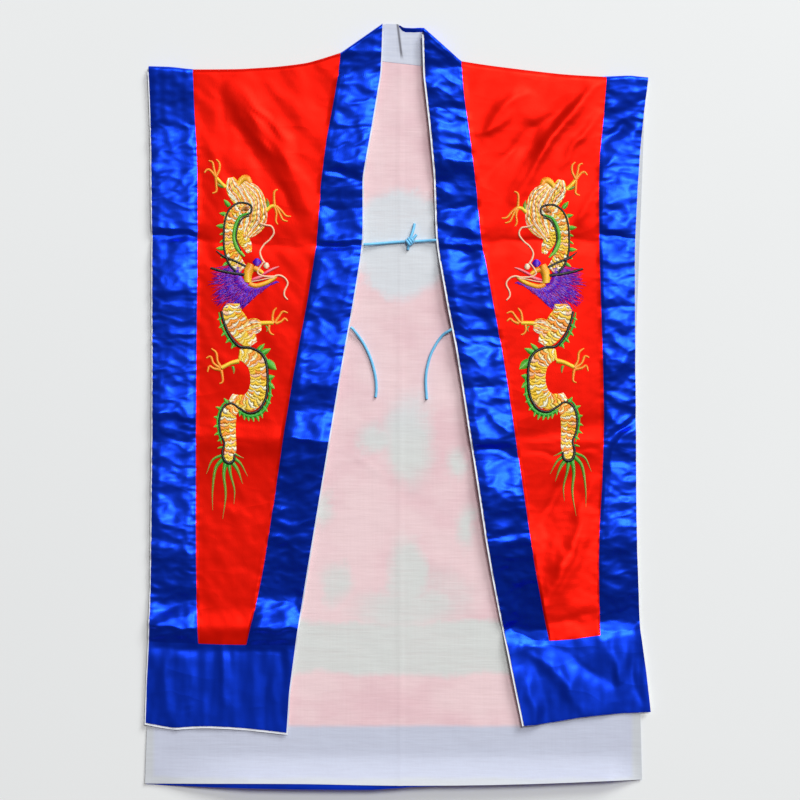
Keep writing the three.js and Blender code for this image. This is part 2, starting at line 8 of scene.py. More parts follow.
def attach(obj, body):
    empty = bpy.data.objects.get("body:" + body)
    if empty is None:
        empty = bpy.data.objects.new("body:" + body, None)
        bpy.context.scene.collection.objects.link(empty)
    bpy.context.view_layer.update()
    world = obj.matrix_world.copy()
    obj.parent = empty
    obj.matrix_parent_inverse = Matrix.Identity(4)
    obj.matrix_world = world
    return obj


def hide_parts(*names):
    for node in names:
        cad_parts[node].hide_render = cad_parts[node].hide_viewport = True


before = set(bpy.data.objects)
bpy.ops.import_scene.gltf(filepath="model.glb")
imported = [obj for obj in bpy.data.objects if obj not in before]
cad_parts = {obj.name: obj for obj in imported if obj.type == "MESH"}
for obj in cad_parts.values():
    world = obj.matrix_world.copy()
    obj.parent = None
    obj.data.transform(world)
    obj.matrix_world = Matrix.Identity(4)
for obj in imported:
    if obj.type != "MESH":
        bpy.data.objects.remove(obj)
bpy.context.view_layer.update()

# The view: a camera straight above the robe as it lies on a plain pale floor, with a big soft light
# high up beyond the wearer's left shoulder, and a weaker one low down beyond it.
MM = 0.001
CAMERA_HEIGHT = 3.2
VIEW_WIDTH = 1.28
VIEW_MIDDLE = (0.0032, 0.010)

camera_data = bpy.data.cameras.new("camera")
camera_data.sensor_width = 36
camera_data.lens = camera_data.sensor_width * CAMERA_HEIGHT / VIEW_WIDTH
camera = bpy.data.objects.new("camera", camera_data)
camera.location = (*VIEW_MIDDLE, CAMERA_HEIGHT)
bpy.context.scene.collection.objects.link(camera)
bpy.context.scene.camera = camera
bpy.context.scene.view_settings.view_transform = "Standard"

world = bpy.data.worlds.new("studio")
world.use_nodes = True
world.node_tree.nodes["Background"].inputs["Color"].default_value = (1.0, 0.84, 0.86, 1)
world.node_tree.nodes["Background"].inputs["Strength"].default_value = 0.12
bpy.context.scene.world = world


def soft_light(name, place, size, power):
    """A square softbox at a place, turned to face the robe."""
    data = bpy.data.lights.new(name, "AREA")
    data.color = (0.96, 1, 1)
    data.size = size
    data.energy = power
    lamp = bpy.data.objects.new(name, data)
    lamp.location = place
    lamp.rotation_euler = (-Vector(place)).to_track_quat("-Z", "Y").to_euler()
    bpy.context.scene.collection.objects.link(lamp)


soft_light("key_light", (5.2, 8.0, 20), 6, 2750)
soft_light("low_light", (10, 14, 10), 8, 2950)


class Wire:
    """An output of a shader node. Operators add Math nodes, and `node` adds any other kind."""

    def __init__(self, tree, socket=None):
        self.tree = tree
        self.socket = socket

    def node(self, kind, settings=None, inputs=None, output=0):
        new = self.tree.nodes.new("ShaderNode" + kind)
        for name, value in (settings or {}).items():
            setattr(new, name, value)
        for key, value in (inputs or {}).items():
            if isinstance(value, Wire):
                self.tree.links.new(value.socket, new.inputs[key])
            else:
                new.inputs[key].default_value = value
        return Wire(self.tree, new.outputs[output])

    def math(self, operation, *terms):
        return self.node("Math", {"operation": operation}, dict(enumerate(terms)))

    def __add__(self, other):
        return self.math("ADD", self, other)

    def __sub__(self, other):
        return self.math("SUBTRACT", self, other)

    def __rsub__(self, other):
        return self.math("SUBTRACT", other, self)

    def __mul__(self, other):
        return self.math("MULTIPLY", self, other)

    def __truediv__(self, other):
        return self.math("DIVIDE", self, other)

    __radd__ = __add__
    __rmul__ = __mul__

    def __abs__(self):
        return self.math("ABSOLUTE", self)

    def most(self, other):
        return self.math("MAXIMUM", self, other)

    def step(self, low, high):
        """0 below low and 1 above high, turning smoothly between them."""
        span = {"interpolation_type": "SMOOTHSTEP"}
        return self.node("MapRange", span, {"Value": self, "From Min": low, "From Max": high})

    def mix(self, colour_a, colour_b):
        """Colour a where this is 0 and colour b where it is 1."""
        return self.node("Mix", {"data_type": "RGBA"}, {0: self, 6: colour_a, 7: colour_b}, 2)


class Finish:
    """A material: its shader, and wires to the surface's own coordinates."""

    def __init__(self, name, **constants):
        self.material = bpy.data.materials.new(name)
        self.material.use_nodes = True
        self.tree = self.material.node_tree
        self.shader = self.tree.nodes["Principled BSDF"]
        for key, value in constants.items():
            self.shader.inputs[key.replace("_", " ")].default_value = value
        self.wire = Wire(self.tree)
        self.place = self.wire.node("TexCoord", output="Object")
        self.x, self.y = (
            self.wire.node("SeparateXYZ", inputs={0: self.place}, output=i) for i in range(2)
        )

    def noise(self, scale, stretch=(1, 1, 1), detail=2.0, roughness=0.5):
        stretched = self.wire.node("VectorMath", {"operation": "MULTIPLY"}, {0: self.place, 1: stretch})
        values = {"Vector": stretched, "Scale": scale, "Detail": detail, "Roughness": roughness}
        return self.wire.node("TexNoise", inputs=values)

    def set(self, socket, wire):
        self.tree.links.new(wire.socket, self.shader.inputs[socket])

    def bump(self, height, distance, strength=1.0):
        values = {"Height": height, "Distance": distance, "Strength": strength}
        self.set("Normal", self.wire.node("Bump", inputs=values))


FLOOR_REACH = 4
FLOOR_DROP = 0.0004

floor_finish = Finish("floor_paper", Roughness=0.9)
shade = floor_finish.noise(1.2)
floor_finish.set("Base Color", shade.mix((0.84, 0.84, 0.84, 1), (0.87, 0.87, 0.87, 1)))
floor_mesh = bmesh.new()
bmesh.ops.create_grid(floor_mesh, x_segments=2, y_segments=2, size=FLOOR_REACH)
bmesh.ops.translate(floor_mesh, vec=(0, 0, -FLOOR_DROP), verts=floor_mesh.verts)
floor_data = bpy.data.meshes.new("floor")
floor_mesh.to_mesh(floor_data)
floor = bpy.data.objects.new("floor", floor_data)
floor_data.materials.append(floor_finish.material)
bpy.context.scene.collection.objects.link(floor)


# The back: a red satin panel between blue satin bands, with the satin face down on the floor. It is
# one flat layer of cloth, cut wide and straight, and it cockles a little along its seams.
SATIN_THICK = 0.45
SEAM_TUCK = 0.4
RIM_ANGLE = 0.9
BACK_COCKLE = 0.35
SIDE_STEP = 2
# The hem's curl: how high it goes, below which y it starts and over how far, and its ends in x with
# the length over which each one fades out.
HEM_LIFT = 24
HEM_LIFT_FROM, HEM_LIFT_OVER = -556, 48
HEM_WEST, HEM_WEST_FADE = -388, 150
HEM_EAST, HEM_EAST_FADE = 386, 50
HEM_CURL = 0.2


def smoothed(line, reach):
    """A line of places with its small corners rounded, its two ends kept."""
    width = max(int(reach), 1)
    kernel = np.hanning(2 * width + 3)[1:-1]
    kernel /= kernel.sum()
    before = 2 * line[0] - line[width:0:-1]
    after = 2 * line[-1] - line[-2 : -width - 2 : -1]
    padded = np.vstack([before, line, after])
    columns = [np.convolve(padded[:, i], kernel, "valid") for i in range(2)]
    return np.stack(columns, 1)


class Cut:
    """The plan of one cloth wall of the frame, in mm: four sides between its corners."""

    def __init__(self, node, rounding=14):
        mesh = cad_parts[node].data
        mesh.calc_loop_triangles()
        points = np.array([v.co for v in mesh.vertices]) / MM
        faces = np.array([t.vertices for t in mesh.loop_triangles if t.normal.z > 0.05])
        plan, same = np.unique(points[:, :2].round(3), axis=0, return_inverse=True)
        faces = same.reshape(-1)[faces]
        edges = {(int(f[i]), int(f[i - 2])) for f in faces for i in range(3)}
        onward = {a: b for a, b in edges if (b, a) not in edges}
        total, across = plan.sum(1), plan[:, 0] - plan[:, 1]
        on_edge = np.array(list(onward))
        north_west = on_edge[across[on_edge].argmin()]
        south_west = on_edge[total[on_edge].argmin()]
        south_east = on_edge[across[on_edge].argmax()]
        north_east = on_edge[total[on_edge].argmax()]

        def side(start, end):
            walk = [start]
            while walk[-1] != end:
                walk.append(onward[walk[-1]])
            line = plan[walk]
            length = np.insert(np.hypot(*np.diff(line, axis=0).T).cumsum(), 0, 0)
            even = np.linspace(0, length[-1], max(int(length[-1] / SIDE_STEP), 8))
            line = np.stack([np.interp(even, length, line[:, i]) for i in range(2)], 1)
            return smoothed(line, min(rounding / SIDE_STEP, len(line) / 4))

        self.west = side(north_west, south_west)[::-1]
        self.south = side(south_west, south_east)
        self.east = side(south_east, north_east)
        self.north = side(north_east, north_west)[::-1]

    @staticmethod
    def along(side, share):
        at = np.asarray(share) * (len(side) - 1)
        return np.stack([np.interp(at, np.arange(len(side)), side[:, i]) for i in range(2)], -1)

    def place(self, u, v):
        """The place, x and y, at u across the piece and v up it."""
        u, v = np.asarray(u)[..., None], np.asarray(v)[..., None]
        rising = (1 - u) * self.along(self.west, v[..., 0]) + u * self.along(self.east, v[..., 0])
        crossing = (1 - v) * self.along(self.south, u[..., 0]) + v * self.along(self.north, u[..., 0])
        corners = (1 - v) * ((1 - u) * self.south[0] + u * self.south[-1])
        corners = corners + v * ((1 - u) * self.north[0] + u * self.north[-1])
        return rising + crossing - corners

    def size(self):
        """The width and length of the strip that it is cut from, and its own area, in metres."""
        outline = np.vstack([self.south, self.east, self.north[::-1], self.west[::-1]])
        x, y = outline.T
        area = abs(np.dot(x, np.roll(y, 1)) - np.dot(y, np.roll(x, 1))) / 2
        width, length = np.ptp(outline, axis=0)
        return (width * MM, length * MM), area * MM * MM


def wandering(x, y, seed):
    """Smooth noise from about -1 to 1, one lump to a unit, at arrays of places."""
    turn = np.random.default_rng(seed).uniform(0, 2 * np.pi, (64, 64))
    left, low = np.floor(x).astype(int), np.floor(y).astype(int)
    fx, fy = x - left, y - low
    corners = []
    for i in (0, 1):
        for j in (0, 1):
            angle = turn[(left + i) % 64, (low + j) % 64]
            corners.append(np.cos(angle) * (fx - i) + np.sin(angle) * (fy - j))
    sx = fx**3 * (fx * (6 * fx - 15) + 10)
    sy = fy**3 * (fy * (6 * fy - 15) + 10)
    low_edge = corners[0] + sx * (corners[2] - corners[0])
    high_edge = corners[1] + sx * (corners[3] - corners[1])
    return 1.5 * (low_edge + sy * (high_edge - low_edge))


def cloth(name, cut, cell, height, thickness, finish, tucked=(), lean=None):
    """A sheet of cloth in the plan of a cut, on a grid of cells of one width and depth, in mm. The
    sides that are sewn to another piece are tucked down into the seam."""
    (width, length), area = cut.size()
    columns = max(int(area / length / MM / cell[0]), 2)
    rows = max(int(length / MM / cell[1]), 2)
    grid = bmesh.new()
    bmesh.ops.create_grid(grid, x_segments=columns, y_segments=rows, size=0.5)
    mesh = bpy.data.meshes.new(name)
    grid.to_mesh(mesh)
    unit = np.empty(len(mesh.vertices) * 3)
    mesh.vertices.foreach_get("co", unit)
    u, v = unit.reshape(-1, 3)[:, :2].T + 0.5
    plan = cut.place(u, v)
    z = height(plan[:, 0], plan[:, 1], u, v)
    rims = {
        "west": (u < 1e-4, (-1, 0)), "east": (u > 0.9999, (1, 0)),
        "south": (v < 1e-4, (0, -1)), "north": (v > 0.9999, (0, 1)),
    }
    for edge in tucked:
        rim, outward = rims[edge]
        plan[rim] += np.array(outward) * SEAM_TUCK
        z[rim] -= SEAM_TUCK / 4
    mesh.vertices.foreach_set("co", (np.column_stack([plan, z]) * MM).ravel())
    mesh.polygons.foreach_set("use_smooth", [True] * len(mesh.polygons))
    if lean:
        leaning = mesh.attributes.new("lean", "FLOAT", "POINT")
        leaning.data.foreach_set("value", lean(plan[:, 0], plan[:, 1]) * MM)
    piece = bpy.data.objects.new(name, mesh)
    bpy.context.scene.collection.objects.link(piece)
    wall = piece.modifiers.new("thickness", "SOLIDIFY")
    wall.thickness = thickness * MM
    wall.offset = -1
    mesh.materials.append(finish.material)
    seen = piece.evaluated_get(bpy.context.evaluated_depsgraph_get())
    walled = bpy.data.meshes.new_from_object(seen)
    walled.set_sharp_from_angle(angle=RIM_ANGLE)
    piece.modifiers.clear()
    piece.data = walled
    return piece


def dress(piece, node, cut):
    """Puts a sheet of cloth in place of its solid."""
    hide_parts(node)
    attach(piece, "root")
    flat, area = cut.size()
    area = min(area, flat[0] * flat[1])


# Where the satin is calmer, in metres: out on the side bands, near the shoulders and on the hem bands.
OUTER_BANDS = (0.29, 0.31)
SHOULDERS = (0.42, 0.47)
HEM_BANDS = (-0.40, -0.37)


def satin(name, base, bright, shine, crumpled):
    """Satin: smooth floats that flash along a fold, over a colour that varies in soft clouds and threads."""
    made = Finish(name, Metallic=shine, Specular_IOR_Level=0.35)
    made.shader.inputs["Specular Tint"].default_value = (*bright, 1)
    cloudy = made.noise(9, detail=3)
    threads = made.noise(160, stretch=(1, 0.08, 1), detail=1)
    colour = (cloudy * 0.7 + threads * 0.3).step(0.25, 0.75)
    made.set("Base Color", colour.mix((*base, 1), (*[b * 1.12 for b in base], 1)))
    made.set("Roughness", 0.34 + 0.10 * made.noise(35, detail=2))
    weave = made.noise(900, stretch=(1, 0.25, 1), detail=1)
    crumple = made.noise(55, stretch=(0.6, 1, 1), detail=2)
    folded = made.noise(21, stretch=(0.42, 1, 1), detail=1.5) - 0.5
    crease = abs(folded)
    outer = abs(made.x).step(*OUTER_BANDS)
    calm = 1 - 0.65 * (outer * made.y.step(*SHOULDERS)) - 0.6 * (1 - made.y.step(*HEM_BANDS))
    lean = made.wire.node("Attribute", {"attribute_name": "lean"}, output=2)
    relief = lean + weave * 0.00005 + calm * (crumple * (0.0002 * crumpled) - crease * (0.0036 * crumpled))
    made.bump(relief, 1.0)
    return made


blue_satin = satin("blue_satin", (0.006, 0.055, 0.82), (0.8, 0.9, 1.0), 0.88, 1.0)
red_satin = satin("red_satin", (0.82, 0.006, 0.001), (1.0, 0.4, 0.28), 0.55, 0.35)


def hem_lift(x, y):
    """How far the bottom hem has curled up off the floor, along the part that isn't pressed down."""
    along = ((x - HEM_WEST) / HEM_WEST_FADE).clip(0, 1) * ((HEM_EAST - x) / HEM_EAST_FADE).clip(0, 1)
    return HEM_LIFT * along * ((HEM_LIFT_FROM - y) / HEM_LIFT_OVER).clip(0, 1) ** 1.6


def back_height(x, y, u, v):
    wave = wandering(x / 46, y / 38, 11) + 0.6 * wandering(x / 21, y / 19, 12)
    rim = np.minimum(np.minimum(u, 1 - u), np.minimum(v, 1 - v))
    cockle = BACK_COCKLE * (0.5 + 0.5 * wave).clip(0, 1) * (rim * 30).clip(0.2, 1)
    return SATIN_THICK + cockle + hem_lift(x, y)


def hem_lean(x, y):
    """The curl turns the hem band's edge away from the light."""
    return -1.25 * hem_lift(x, y)


for node, finish, slot in [
    ("back_red_panel", red_satin, "red_satin"),
    ("back_right_side_band", blue_satin, "blue_satin"),
    ("back_left_side_band", blue_satin, "blue_satin"),
    ("back_hem_band", blue_satin, "blue_satin"),
]:
    cut = Cut(node, rounding=4)
    if node == "back_hem_band":
        cut.south[:, 1] += HEM_CURL * hem_lift(*cut.south.T)
        cut.south[:, 1] += 4 * ((cut.south[:, 0] + 40) / 60).clip(0, 1)
    piece = cloth(node + "_cloth", cut, (8, 8), back_height, SATIN_THICK, finish, lean=hem_lean)
    dress(piece, node, cut)


# The back lining: thin unbleached cotton, the same plan as the back. The red panel, the hem band and
# the paler patches behind its embroidery show through it. Its edges are turned in by 13 mm.
LINING_THICK = 0.4
LINING_TOP = 2.3
# Lines on the lining, in metres, each from where its tint starts to turn to where it has turned: the
# foot and the top of a pale band across it, the hem band's seam, and the turned-in edges.
PALE_BAND_FOOT, PALE_BAND_TOP = (-0.439, -0.419), (-0.354, -0.332)
HEM_SEAM = (-0.516, -0.506)
EAST_EDGE, WEST_EDGE, LOW_EDGE = (0.370, 0.379), (-0.395, -0.386), (-0.596, -0.588)


def cotton(name):
    made = Finish(name, Roughness=0.92)
    made.shader.inputs["Sheen Weight"].default_value = 0.15
    warp = made.noise(260, stretch=(1, 0.05, 1), detail=2)
    weft = made.noise(240, stretch=(0.09, 1, 1), detail=3, roughness=0.6)
    slub = warp * 0.25 + weft * 0.75
    made.bump(slub, 0.0009, 0.5)
    return made, slub


back_cotton, slub = cotton("lining_cotton")
pale, pink = (0.73, 0.75, 0.79, 1), (0.91, 0.67, 0.69, 1)
rose, cream = (0.85, 0.56, 0.60, 1), (0.72, 0.73, 0.71, 1)
lavender, white = (0.585, 0.61, 0.74, 1), (0.61, 0.63, 0.67, 1)
drift = (back_cotton.noise(10, detail=6, roughness=0.7) - 0.5) * 0.075
x, y = back_cotton.x + drift, back_cotton.y + drift


def oval(x, y, middle, radii, softness):
    """1 inside an oval in plan, in mm, and 0 outside it."""
    across, up = (x - middle[0] * MM) / (radii[0] * MM), (y - middle[1] * MM) / (radii[1] * MM)
    square = across * across + up * up
    return 1 - square.math("SQRT", square).step(1 - softness, 1 + softness)


shown = oval(x, y, (3, 260), (84, 86), 0.2)
for middle, radii, softness in [
    ((16, -54), (40, 70), 0.6), ((-32, -51), (32, 22), 0.8), ((16, -272), (32, 68), 0.6),
    ((8, -326), (80, 34), 0.7), ((-101, -284), (24, 32), 0.7), ((109, -195), (16, 30), 0.9),
    ((-118, -163), (14, 24), 0.9), ((94, -92), (16, 22), 0.9),
]:
    shown = shown.most(oval(x, y, middle, radii, softness) * 0.9)
shown = shown.most(oval(x, y, (78, -300), (56, 52), 0.6) * 0.45)
above_foot = (y - drift * 0.5).step(*PALE_BAND_FOOT)
below_top = 1 - (y - drift * 0.4).step(*PALE_BAND_TOP)
shown = shown.most(above_foot * below_top)
blotches = back_cotton.noise(7, stretch=(0.7, 1, 1), detail=4, roughness=0.6) - 0.5
streaks = (slub - 0.5) * 0.35 + blotches * 0.9
warm = (1 - back_cotton.y.step(-0.1, 0.1)).mix(pale, cream)
tint = (shown + streaks).step(0.0, 1.05).mix(blotches.step(-0.12, 0.16).mix(pink, rose), warm)
join = back_cotton.y + drift * 0.1 - back_cotton.x.step(0.198, 0.206) * 0.024
hem_band = 1 - join.step(*HEM_SEAM)
tint = hem_band.mix(tint, lavender)
# The turned-in edges take a grey-white, set a little darker than the cotton itself all round: painted shade
# for the curled hem turning from the light.
edge = back_cotton.x.step(*EAST_EDGE).most(1 - back_cotton.x.step(*WEST_EDGE))
low_edge = 1 - (back_cotton.y + drift * 0.15).step(*LOW_EDGE)
tint = edge.most(low_edge).mix(tint, white)
# Down the middle crease the lining is painted a little darker: painted shade in the fold. Elsewhere the
# darker tint follows the slub of the weave.
pressed = abs((back_cotton.x + drift * 0.1 - 0.0015) / 0.0035).step(0, 1)
multiply = {"data_type": "RGBA", "blend_type": "MULTIPLY"}
slub_tone_and_crease_shade = tint.node("Mix", multiply, {0: 1.0, 6: tint, 7: (0.94, 0.925, 0.925, 1)}, 2)
back_cotton.set("Base Color", (slub.step(0.2, 0.75) * (0.45 + 0.55 * pressed)).mix(slub_tone_and_crease_shade, tint))


def gaussian(distance, width):
    return np.exp(-((distance / width) ** 2))


def back_lining_height(x, y, u, v):
    cloth_wave = 0.35 * wandering(x / 60, y / 45, 21) + 0.2 * wandering(x / 25, y / 14, 22)
    middle_crease = 0.7 * gaussian(x - 3 - 2 * wandering(x * 0, y / 90, 23), 2.6)
    past = ((x + 92) / 75).clip(0, 1)
    drag = 1.1 * gaussian(y + 66 + 51 * past - 10 * past * (1 - past), 2.2) * gaussian(x + 54, 30)
    edge = 0.5 * gaussian(np.abs(x) - 388, 8) + 0.5 * gaussian(y + 600, 7)
    return LINING_TOP + 0.35 + cloth_wave + middle_crease + drag + edge + hem_lift(x, y)


cut = Cut("back_lining", rounding=4)
cut.south[:, 1] += 0.8 * HEM_CURL * hem_lift(*cut.south.T)
piece = cloth("back_lining_cloth", cut, (5, 5), back_lining_height, LINING_THICK, back_cotton)
dress(piece, "back_lining", cut)


# The collar band behind the neck: a strip of blue satin with a pale cotton facing on its inner side.
# Its top edge has rolled over towards the wearer's left, so that a lip of satin shows.
FACING_TOP = 2.6
CREASE_TOP = 605
CREASE_SLANT = 0.125

facing_cotton, slub = cotton("facing_cotton")
# Down the crease from the top of the facing to about 0.56 m up, the cotton is painted dark grey: painted
# shade in the fold.
crease = facing_cotton.x - (CREASE_TOP * MM - facing_cotton.y) * CREASE_SLANT
crease = abs(crease).step(0.0005, 0.0030).most(1 - facing_cotton.y.step(0.552, 0.566))
facing_tints = (0.58, 0.605, 0.72, 1), (0.67, 0.69, 0.79, 1)
low, high = (crease.mix((0.20, 0.20, 0.24, 1), tint) for tint in facing_tints)
facing_cotton.set("Base Color", slub.step(0.2, 0.8).mix(low, high))


def surface_of(*nodes):
    """A way to find the height, in mm, of the top of some of the frame's solids."""
    points, faces = [], []
    for name in nodes:
        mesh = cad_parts[name].data
        mesh.calc_loop_triangles()
        first = len(points)
        points += [v.co for v in mesh.vertices]
        faces += [[first + i for i in t.vertices] for t in mesh.loop_triangles]
    tree = BVHTree.FromPolygons(points, faces)

    def top(x, y):
        hit = tree.ray_cast(Vector((x * MM, y * MM, 1)), Vector((0, 0, -1)))[0]
        return np.nan if hit is None else hit.z / MM

    return np.vectorize(top, otypes=[float])


collar_cut = Cut("back_collar_band", rounding=3)
collar_top = surface_of("back_collar_band")


def collar_height(x, y, u, v):
    middle = np.array([5.0, 560.0])
    found = collar_top(middle[0] + (x - middle[0]) * 0.985, middle[1] + (y - middle[1]) * 0.985)
    return np.where(np.isnan(found), 1.2, found) * 1.3


collar_cut.north[:, 1] -= 2.0 * ((3 - collar_cut.north[:, 0]) / 4).clip(0, 1)
collar_cut.west[-1] = collar_cut.north[0]
piece = cloth("back_collar_band_cloth", collar_cut, (2.5, 2.5), collar_height, SATIN_THICK, blue_satin)
dress(piece, "back_collar_band", collar_cut)


def facing_height(x, y, u, v):
    right_of_crease = x - (CREASE_TOP - y) * CREASE_SLANT
    fold = 1.6 * np.exp(-right_of_crease.clip(0, None) / 9) * (right_of_crease > 0) * gaussian(y - 590, 28)
    return FACING_TOP + 0.2 * wandering(x / 14, y / 11, 31) + fold + 0.3 - 0.3 * (v * 6).clip(0, 1)


cut = Cut("back_collar_facing", rounding=3)
top = np.array([(-20, 611.4), (1.6, 610.8), (4.8, 608), (6.4, 600.5), (9.6, 597.6), (40, 598)])
at_top = (np.abs(cut.north[:, 0] - 10) < 31) & (cut.north[:, 1] > 590)
cut.north[at_top, 1] = np.interp(cut.north[at_top, 0], top[:, 0], top[:, 1])
piece = cloth("back_collar_facing_cloth", cut, (2.5, 2.5), facing_height, LINING_THICK, facing_cotton)
dress(piece, "back_collar_facing", cut)


# The fronts: each is a red satin panel with a blue side band, collar band and hem band sewn round it,
# over its own lining. Folds from storage cross all of it, the bands pucker along their seams, and the
# cloth drags in long soft folds from the shoulder.
RASTER = 1.6
# The inner side of each front's pieces, towards the opening, and the outer one.
FRONT_SIDES = {"right": ("east", "west"), "left": ("west", "east")}
# Creases across each band, from the shoulder down, as read off the photo: the place in y of
# each at its seam, at its middle and at its outer edge, and its height.
BAND_FOLDS = {
    "right_side_band": [
        (544, 544, 544, 0.8), (445, 445, 445, 0.2), (410, 418, 426, 1.0), (381, 378, 375, 0.2),
        (330, 324, 322, 1.5), (295, 294, 294, 0.9), (280, 282, 284, 1.3), (271, 271, 272, -1.0),
        (259, 260, 262, 1.0), (231, 231, 231, 0.6), (194, 196, 194, 1.4), (165, 165, 165, 0.5),
        (151, 152, 154, 1.0), (122, 120, 118, 0.3), (90, 100, 98, 1.0), (55, 58, 64, 0.2),
        (32, 26, 23, 1.4), (16, 12, 7, 0.9), (-16, -14, -9, 2.0), (-28, -24, -19, 1.0),
        (-51, -54, -54, -0.3), (-73, -78, -83, 1.3), (-92, -94, -96, 0.6), (-115, -117, -118, 1.4),
        (-137, -136, -134, 0.8), (-174, -170, -166, 0.5), (-201, -196, -195, 1.5),
        (-222, -218, -214, 0.6), (-240, -236, -233, 1.0), (-270, -266, -262, 0.2),
        (-302, -318, -299, -0.8), (-353, -352, -353, 2.4), (-361, -361, -361, 1.6),
        (-382, -382, -382, 0.4),
    ],
    "right_collar_band": [
        (612, 612, 612, 0.8), (566, 566, 566, 1.2), (556, 557, 556, 0.2), (532, 535, 538, 0.3),
        (516, 516, 503, 1.6), (498, 495, 490, 0.4), (484, 484, 477, 1.4), (471, 461, 471, 0.6),
        (455, 448, 455, 1.1), (439, 442, 445, 0.4), (424, 423, 426, 1.3), (413, 410, 413, 0.7),
        (394, 391, 394, 1.8), (378, 368, 356, -0.1), (372, 360, 346, 1.0), (320, 317, 311, -0.9),
        (288, 295, 301, 1.0), (279, 276, 282, 0.4), (268, 266, 266, 1.4), (256, 255, 255, -1.5),
        (244, 247, 250, 1.0), (194, 202, 218, 2.2), (176, 183, 194, 1.2), (154, 162, 170, 1.7),
        (135, 135, 125, 0.3), (90, 98, 106, 1.6), (79, 80, 87, 0.9), (37, 37, 50, 2.2),
        (13, 18, 29, 0.8), (-6, 4, -9, 0.6), (-49, -51, -54, 3.2), (-59, -60, -64, 1.8),
        (-73, -76, -73, 1.1), (-92, -86, -83, 1.5), (-150, -150, -142, 0.0), (-163, -160, -150, 0.3),
        (-200, -201, -198, -0.2), (-208, -208, -206, 0.3), (-281, -297, -329, -2.6),
        (-352, -355, -358, 2.6), (-363, -364, -368, 1.4), (-387, -384, -384, 0.2),
    ],
    "left_collar_band": [
        (612, 612, 612, 0.6), (544, 541, 522, 0.2), (535, 522, 506, 1.2), (509, 503, 490, 0.2),
        (490, 485, 480, 1.4), (477, 474, 471, 0.4), (461, 471, 466, 1.0), (452, 452, 452, 0.2),
        (426, 439, 442, 1.8), (410, 426, 410, 1.0), (407, 410, 404, 0.1), (394, 392, 391, 1.6),
        (356, 356, 356, -0.5), (336, 338, 346, 0.7), (322, 317, 306, -0.8), (279, 288, 295, 1.9),
        (269, 266, 266, 0.2), (256, 256, 256, 0.9), (248, 248, 250, -0.8), (231, 231, 234, 0.9),
        (210, 202, 186, 2.1), (183, 183, 176, 1.3), (164, 160, 157, 2.1), (138, 144, 151, 0.4),
        (122, 109, 119, 0.0), (71, 74, 80, 2.2), (50, 55, 55, 1.3), (32, 29, 29, 0.3),
        (13, 16, 16, 1.1), (-44, -48, -51, 2.8), (-51, -57, -60, 1.7), (-65, -68, -73, -1.0),
        (-83, -78, -80, 0.0), (-134, -131, -126, 2.8), (-169, -166, -158, 1.0),
        (-206, -208, -211, 0.1), (-213, -214, -216, 0.5), (-246, -246, -243, -1.0),
        (-355, -356, -358, -4.4), (-382, -382, -374, -2.0),
    ],
    "left_side_band": [
        (525, 525, 525, 0.6), (413, 455, 490, -0.9), (368, 410, 445, 1.9), (349, 375, 407, 0.6),
        (320, 336, 368, 1.6), (306, 311, 304, 0.9), (295, 279, 300, 1.7), (276, 269, 266, -0.4),
        (261, 266, 272, 0.4), (231, 240, 250, 1.3), (215, 221, 231, 0.5), (176, 186, 196, 1.7),
        (157, 160, 167, 0.2), (135, 138, 128, 1.0), (98, 109, 125, -0.2), (55, 71, 87, 1.6),
        (23, 32, 55, 0.3), (-22, -3, 23, 2.1), (-35, -22, -9, 1.6), (-64, -38, -25, -0.9),
        (-130, -54, -48, 1.6), (-198, -150, -102, 0.9), (-222, -214, -198, 1.4),
        (-246, -240, -233, 0.3), (-294, -304, -286, 1.1), (-345, -342, -336, -2.8),
        (-382, -374, -365, -0.6),
    ],
}
